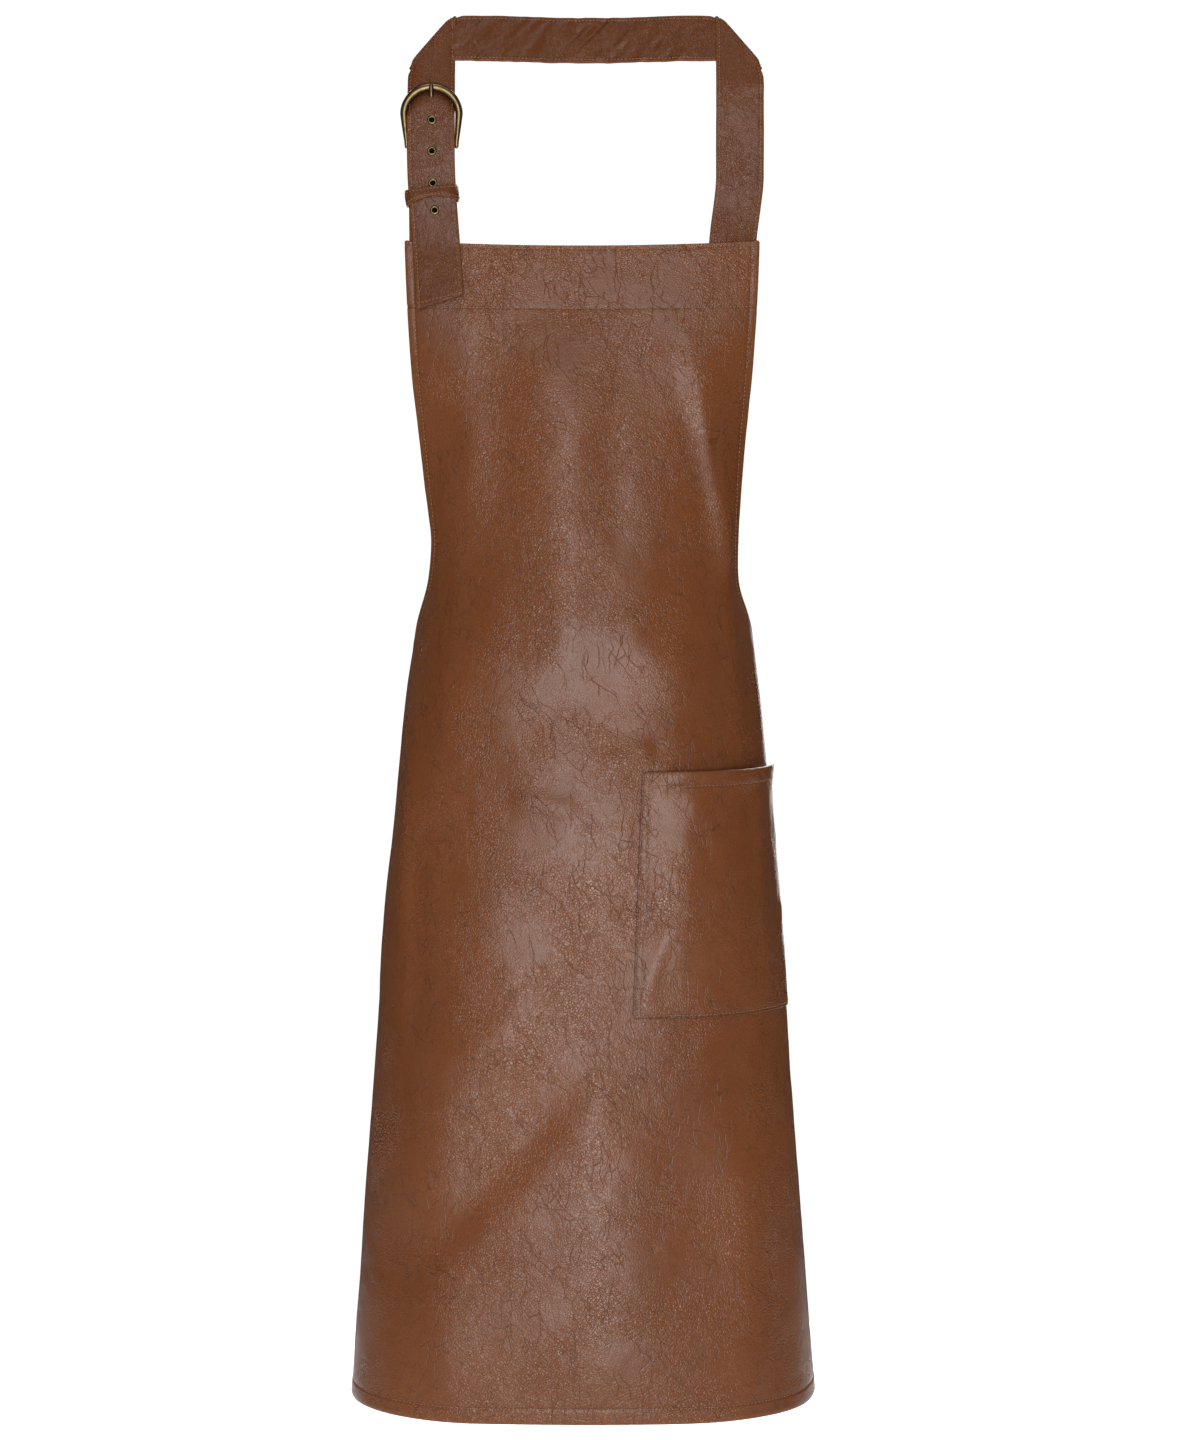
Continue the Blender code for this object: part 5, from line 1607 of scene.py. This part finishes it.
@dataclass
class Eyelets:
    """Rolled eyelets through the tail."""

    strap: NeckStrap
    heights: tuple[float, ...] = (1.1456, 1.1184, 1.0904, 1.0667)
    flange: float = 0.00415
    hole: float = 0.0021

    def places(self) -> list[tuple[Array, Array]]:
        """Each eyelet's middle and axis."""
        found = []
        for height in self.heights:
            points, normals = self.strap.upright(Side.RIGHT, height, height)
            middle = self.strap.columns // 2
            found.append((points[middle] + np.array((0.0010, 0.0, 0.0)), normals[middle]))
        return found

    def build(self, leather: bpy.types.Object) -> list[bpy.types.Object]:
        """Punches the strap, builds each eyelet as a turned ring with a rolled lip, and closes each bore with a
        near-black disc of painted shadow.

        Args:
            leather: The strap.

        Returns:
            The eyelets.
        """
        self.strap.punch(leather, self.places())
        dark = BoreShade().build()
        made = []
        half = STRAP_T / 2 + GAP
        for number, (centre, axis) in enumerate(self.places(), 1):
            lip = [
                (self.hole, -half * 0.8), (self.hole, half * 0.6), (self.hole + 0.0001, half + 0.0003),
                (self.hole + 0.0004, half + 0.00062), (self.hole + 0.0009, half + 0.00074),
                (self.flange - 0.0007, half + 0.00056), (self.flange - 0.0002, half + 0.0003),
                (self.flange, half + 0.0001), (self.flange - 0.0002, half - 0.0001),
                (0.0028, half - 0.0001), (0.0028, -half + 0.0001), (self.flange - 0.0004, -half + 0.0001),
                (self.flange - 0.0003, -half - 0.0002), (self.hole + 0.0006, -half - 0.0005),
            ]
            side = unit(np.cross(axis, np.array((0.0, 0.0, 1.0))))
            up = np.cross(side, axis)
            turns = np.linspace(0, 2 * math.pi, 40, endpoint=False)
            rows, wear = [], []
            for t in turns:
                out = side * math.cos(t) + up * math.sin(t)
                rows.append([centre + out * r + axis * h for r, h in lip])
                wear.append([1.0 if 3 <= k <= 5 else 0.2 for k in range(len(lip))])
            grid = np.array(rows)
            index = np.arange(grid.shape[0] * grid.shape[1]).reshape(grid.shape[:2])
            faces: list[list[int]] = []
            for a, b in zip(index, np.roll(index, -1, 0)):
                faces += _band(a, b, True).tolist()
            piece = make_mesh(
                f"eyelet_brass_{number}", grid.reshape(-1, 3), faces, self.strap.body, [self.strap.finishes.brass],
                fields={"rim": np.array(wear).reshape(-1)},
            )
            # a near-black disc sits inside each bore: painted shadow, closing the hole that would show only shade
            floor = [centre + (side * math.cos(t) + up * math.sin(t)) * (self.hole + 0.0002) for t in turns]
            lid = [np.array(floor) + axis * depth for depth in (-half * 0.2, -half * 0.5)]
            ends = np.arange(80).reshape(2, 40)
            shell = [list(ends[0]), list(ends[1][::-1]), *_band(ends[0], ends[1], True).tolist()]
            bore = make_mesh(f"eyelet_bore_{number}", np.concatenate(lid), shell, self.strap.body, [dark])
            face_out(bore)
            bore.data.polygons.foreach_set("use_smooth", [False] * len(bore.data.polygons))
            face_out(piece)
            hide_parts(f"eyelet_{number}")
            made.append(piece)
        return made


# ------------------------------------------------------------------ waist ties
@dataclass
class WaistTies:
    """Two flat ties sewn inside the waist corners and knotted behind the wearer."""

    panel: Panel
    width: float = 0.0250
    thick: float = 0.0018
    height: float = 0.6420
    tail: float = 0.2600
    knot: tuple[float, float, float] = (0.0190, 0.0085, 0.0150)

    def strip(self, name: str, node: str, points: Array, normals: Array, widths: Array) -> None:
        """Builds one flat strap with stitched edges.

        Args:
            name: The piece's name.
            node: The CAD node it stands for.
            points: Its centre line.
            normals: Its outward direction at each point.
            widths: Its width at each point.
        """
        finishes = self.panel.finishes
        ahead = unit(np.gradient(points, axis=0))
        side = unit(np.cross(normals, ahead))
        across = np.linspace(-1, 1, 13)
        grid = points[:, None] + side[:, None] * (across[None, :, None] * widths[:, None, None] / 2)
        edge = widths[:, None] / 2 * (1 - np.abs(across))
        seam = np.exp(-(((edge - 0.0021) / 0.0012) ** 2))
        rim = np.exp(-((edge / 0.0014) ** 2))
        along = np.concatenate([[0.0], np.cumsum(np.linalg.norm(np.diff(points, axis=0), axis=1))])
        soft = 0.0004 * Ripple(41, 0.018).read(along[:, None] + 0 * across, across * 0.012 + 0 * along[:, None])
        gather = (1.0 - widths[:, None] / self.width) * 0.0016 * np.cos(across * math.pi * 2.5)
        shape = soft + gather
        half = self.thick / 2 - 0.0002 * seam
        n = normals[:, None]
        top, bottom = grid + n * (half + shape)[..., None], grid - n * (half - shape)[..., None]
        made = layered_sheet(name, top, bottom, self.panel.body, [finishes.strap], {"rim": rim, "seam": seam * 0.7})
        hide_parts(node)
        for word, share in (("upper", -0.82), ("lower", 0.82)):
            row = np.array([[np.interp(share, across, r[:, c]) for c in range(3)] for r in top])
            StitchRow(f"{name}_stitches_{word}", self.panel.body, 0.0033, 0.0025, 0.00040).sew(
                row, normals, finishes.thread
            )

    def build(self) -> None:
        """Builds both ties, both hanging tails and the knot."""
        form = self.panel.form
        half_round = form.half_round(self.height)
        back_y = float(form.place(np.array(half_round), np.array(self.height))[1])
        stop = half_round - self.knot[0] - 0.0012 + 0.004
        start = float(self.panel.half_width(self.height)) - 0.034
        inside = PANEL_T * 1.5 + GAP * 2 + self.thick / 2 + 0.0012
        for side in Side:
            sign, word = side.value, side.name.lower()
            share = np.linspace(0, 1, 60)
            along = sign * (start + (stop - start) * share)
            height = self.height + 0.004 * share
            normal = form.normal(along, height)
            points = form.place(along, height) - normal * inside
            points[:, 2] = height
            normal[:, 2] = 0.0
            widths = self.width * (1.0 - 0.42 * smooth(share, 0.6, 1.0))
            self.strip(f"waist_tie_leather_{word}", f"waist_tie_{word}", points, unit(normal), widths)
            share = np.linspace(0, 1, 70)
            x = sign * (0.0060 + 0.016 * share)
            y = back_y - 0.001 + 0.003 * np.sin(math.pi * share) + 0.0012 * sign
            z = self.height + 0.004 - self.knot[2] + 0.003 - (self.tail + 0.003) * share
            normal = np.tile(np.array((0.12 * sign, 1.0, 0.0)), (70, 1))
            widths = self.width * (0.40 + 0.60 * smooth(share, 0.0, 0.5))
            self.strip(
                f"tie_tail_leather_{word}", f"tie_tail_{word}", np.stack([x, y, z], -1), unit(normal), widths
            )
        self.knot_piece(back_y)

    def knot_piece(self, back_y: float) -> None:
        """The knot: one tie wrapped round the gathered other."""
        turns = np.linspace(0, 2 * math.pi, 72, endpoint=False)
        across = np.linspace(-1, 1, 25)
        t, s = np.meshgrid(turns, across, indexing="ij")
        pull = 1.0 - 0.30 * np.abs(s) ** 2.4
        crease = 0.05 * np.cos(s * math.pi * 3.0 + 0.6 * np.sin(t * 2)) * (0.5 + 0.5 * np.cos(t - 1.2))
        lump = 1.0 + crease + 0.05 * np.sin(t * 3 + 0.7)
        y = back_y + self.knot[1] * pull * lump * np.cos(t)
        z = self.height + 0.004 + self.knot[2] * pull * lump * np.sin(t)
        x = self.knot[0] * (0.74 * s + 0.10 * np.sin(t) * (1 - s * s))
        top = np.stack([x, y, z], -1)
        centre = np.stack([x, np.full_like(x, back_y), np.full_like(x, self.height + 0.004)], -1)
        bottom = top - unit(top - centre) * self.thick
        rim = np.exp(-(((1 - np.abs(s)) / 0.06) ** 2))
        finishes = self.panel.finishes
        made = layered_sheet(
            "knot_leather", top, bottom, self.panel.body, [finishes.strap], {"rim": rim, "seam": 0 * rim}, ring=True
        )
        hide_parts("tie_knot")
        share = np.linspace(-1, 1, 31)
        t, s = np.meshgrid(turns[::2], share, indexing="ij")
        size = 0.72 * np.sqrt(np.maximum(0.0, 1 - np.abs(s) ** 3)) + 0.02
        ridge = 1.0 + 0.10 * np.cos(t * 7 + s)
        core = np.stack([
            self.knot[0] * 0.97 * s,
            back_y + self.knot[1] * size * ridge * np.cos(t),
            self.height + 0.004 + self.knot[2] * size * ridge * np.sin(t) * 0.8,
        ], -1)
        index = np.arange(core.shape[0] * core.shape[1]).reshape(core.shape[:2])
        faces: list[list[int]] = []
        for a, b in zip(index.T[:-1], index.T[1:]):
            faces += _band(a, b, True).tolist()
        faces.append(list(index[:, 0]))
        faces.append(list(index[::-1, -1]))
        blank = np.zeros(core.shape[0] * core.shape[1])
        inner = make_mesh(
            "knot_core_leather", core.reshape(-1, 3), faces, self.panel.body, [finishes.strap],
            fields={"rim": blank, "seam": blank},
        )
        face_out(inner)


# ------------------------------------------------------------------ studio
SENSOR_MM = 36.0
FLOOR_Z = -0.45
FLOOR_RADIUS = 3.2
WORLD_GLOW = 0.04  # what the sky gives to everything but the camera


@dataclass
class Studio:
    """A paper floor, soft lights and the camera."""

    distance: float = 3.25
    aim_height: float = 0.617
    view_height: float = 1.263
    across: float = 0.0158

    def build(self) -> None:
        """Builds the floor, lights and camera."""
        self.paper()
        self.lights()
        self.camera()
        bpy.context.scene.view_settings.view_transform = "Standard"

    def paper(self) -> None:
        """A round sheet of paper laid on the floor."""
        sides = 96
        turns = np.linspace(0, 2 * math.pi, sides, endpoint=False)
        ring = np.stack([np.cos(turns) * FLOOR_RADIUS, np.sin(turns) * FLOOR_RADIUS, np.full(sides, FLOOR_Z)], -1)
        mesh = bpy.data.meshes.new("studio_floor")
        mesh.from_pydata((ring - NAPE).tolist(), [], [list(range(sides))])
        mesh.materials.append(StudioPaper().build())
        floor = bpy.data.objects.new("studio_floor", mesh)
        bpy.context.scene.collection.objects.link(floor)

    def soft_box(
        self, name: str, place: Sequence[float], aim: Sequence[float], size: tuple[float, float], watts: float
    ) -> None:
        """A rectangular soft light.

        Args:
            name: Its name.
            place: Where it stands, from the hem's middle.
            aim: What it points at.
            size: Its width and height.
            watts: Its power.
        """
        data = bpy.data.lights.new(name, "AREA")
        data.shape = "RECTANGLE"
        data.size, data.size_y = size
        data.energy = watts
        lamp = bpy.data.objects.new(name, data)
        lamp.location = Vector(place) - Vector(NAPE)
        lamp.rotation_mode = "QUATERNION"
        lamp.rotation_quaternion = (Vector(aim) - Vector(place)).to_track_quat("-Z", "Y")
        bpy.context.scene.collection.objects.link(lamp)

    def lights(self) -> None:
        """A tall front key, softer lights round it, one for the paper, and a sky only the camera sees as white."""
        middle = (0.0, -0.1, 0.62)
        for name, place, aim, size, watts in (
            ("front_key", (-0.12, -4.3, 0.85), middle, (1.5, 2.5), 68.0),
            ("low_front", (0.0, -3.9, -0.25), (0.0, -0.1, 0.25), (0.9, 0.7), 27.0),
            ("top_soft", (0.0, -1.2, 3.2), middle, (1.8, 1.2), 14.0),
            ("left_fill", (-3.2, -1.6, 1.1), middle, (0.8, 2.2), 3.0),
            ("right_fill", (3.2, -1.6, 1.1), middle, (0.8, 2.2), 2.0),
            ("paper_light", (0.0, 2.3, 2.4), (0.0, 2.2, FLOOR_Z), (5.0, 2.4), 210.0),
            ("back_soft", (0.5, 4.3, 1.3), middle, (1.6, 2.2), 46.0),
        ):
            self.soft_box(name, place, aim, size, watts)
        world = bpy.data.worlds.new("studio_air")
        world.use_nodes = True
        tree = world.node_tree
        tree.nodes.clear()
        seen = add_node(tree, "ShaderNodeLightPath").outputs["Is Camera Ray"]
        strength = add_node(tree, "ShaderNodeMath", {0: seen, 1: 1.0, 2: WORLD_GLOW}, operation="MULTIPLY_ADD")
        white = (1.0, 1.0, 1.0, 1.0)
        sky = add_node(tree, "ShaderNodeBackground", {"Color": white, "Strength": strength.outputs[0]})
        add_node(tree, "ShaderNodeOutputWorld", {"Surface": sky.outputs[0]})
        bpy.context.scene.world = world

    def camera(self) -> None:
        """The camera, level with the middle of the apron and square on to it."""
        data = bpy.data.cameras.new("front_camera")
        data.sensor_width = SENSOR_MM
        data.lens = SENSOR_MM * self.distance / self.view_height
        data.clip_end = 60.0
        lens = bpy.data.objects.new("front_camera", data)
        lens.location = Vector((self.across, FRONT_Y - self.distance, self.aim_height)) - Vector(NAPE)
        lens.rotation_euler = (math.pi / 2, 0.0, 0.0)
        bpy.context.scene.collection.objects.link(lens)
        bpy.context.scene.camera = lens


def main() -> None:
    """Builds every sub-assembly in order."""
    logging.basicConfig(level=logging.INFO, format="%(name)s %(message)s", stream=sys.stdout)
    finishes = Finishes.build()
    form = WearerForm()
    panel = Panel(form, finishes, step=0.0030)
    sheet = panel.build()
    pocket = Pocket(panel)
    patch = pocket.build()
    strap = NeckStrap(form, finishes)
    leather = strap.build()
    BuckleStrap(strap).build()
    Keeper(strap).build()
    Buckle(strap).build()
    Eyelets(strap).build(leather)
    WaistTies(panel).build()
    Studio().build()


if __name__ == "__main__":
    main()
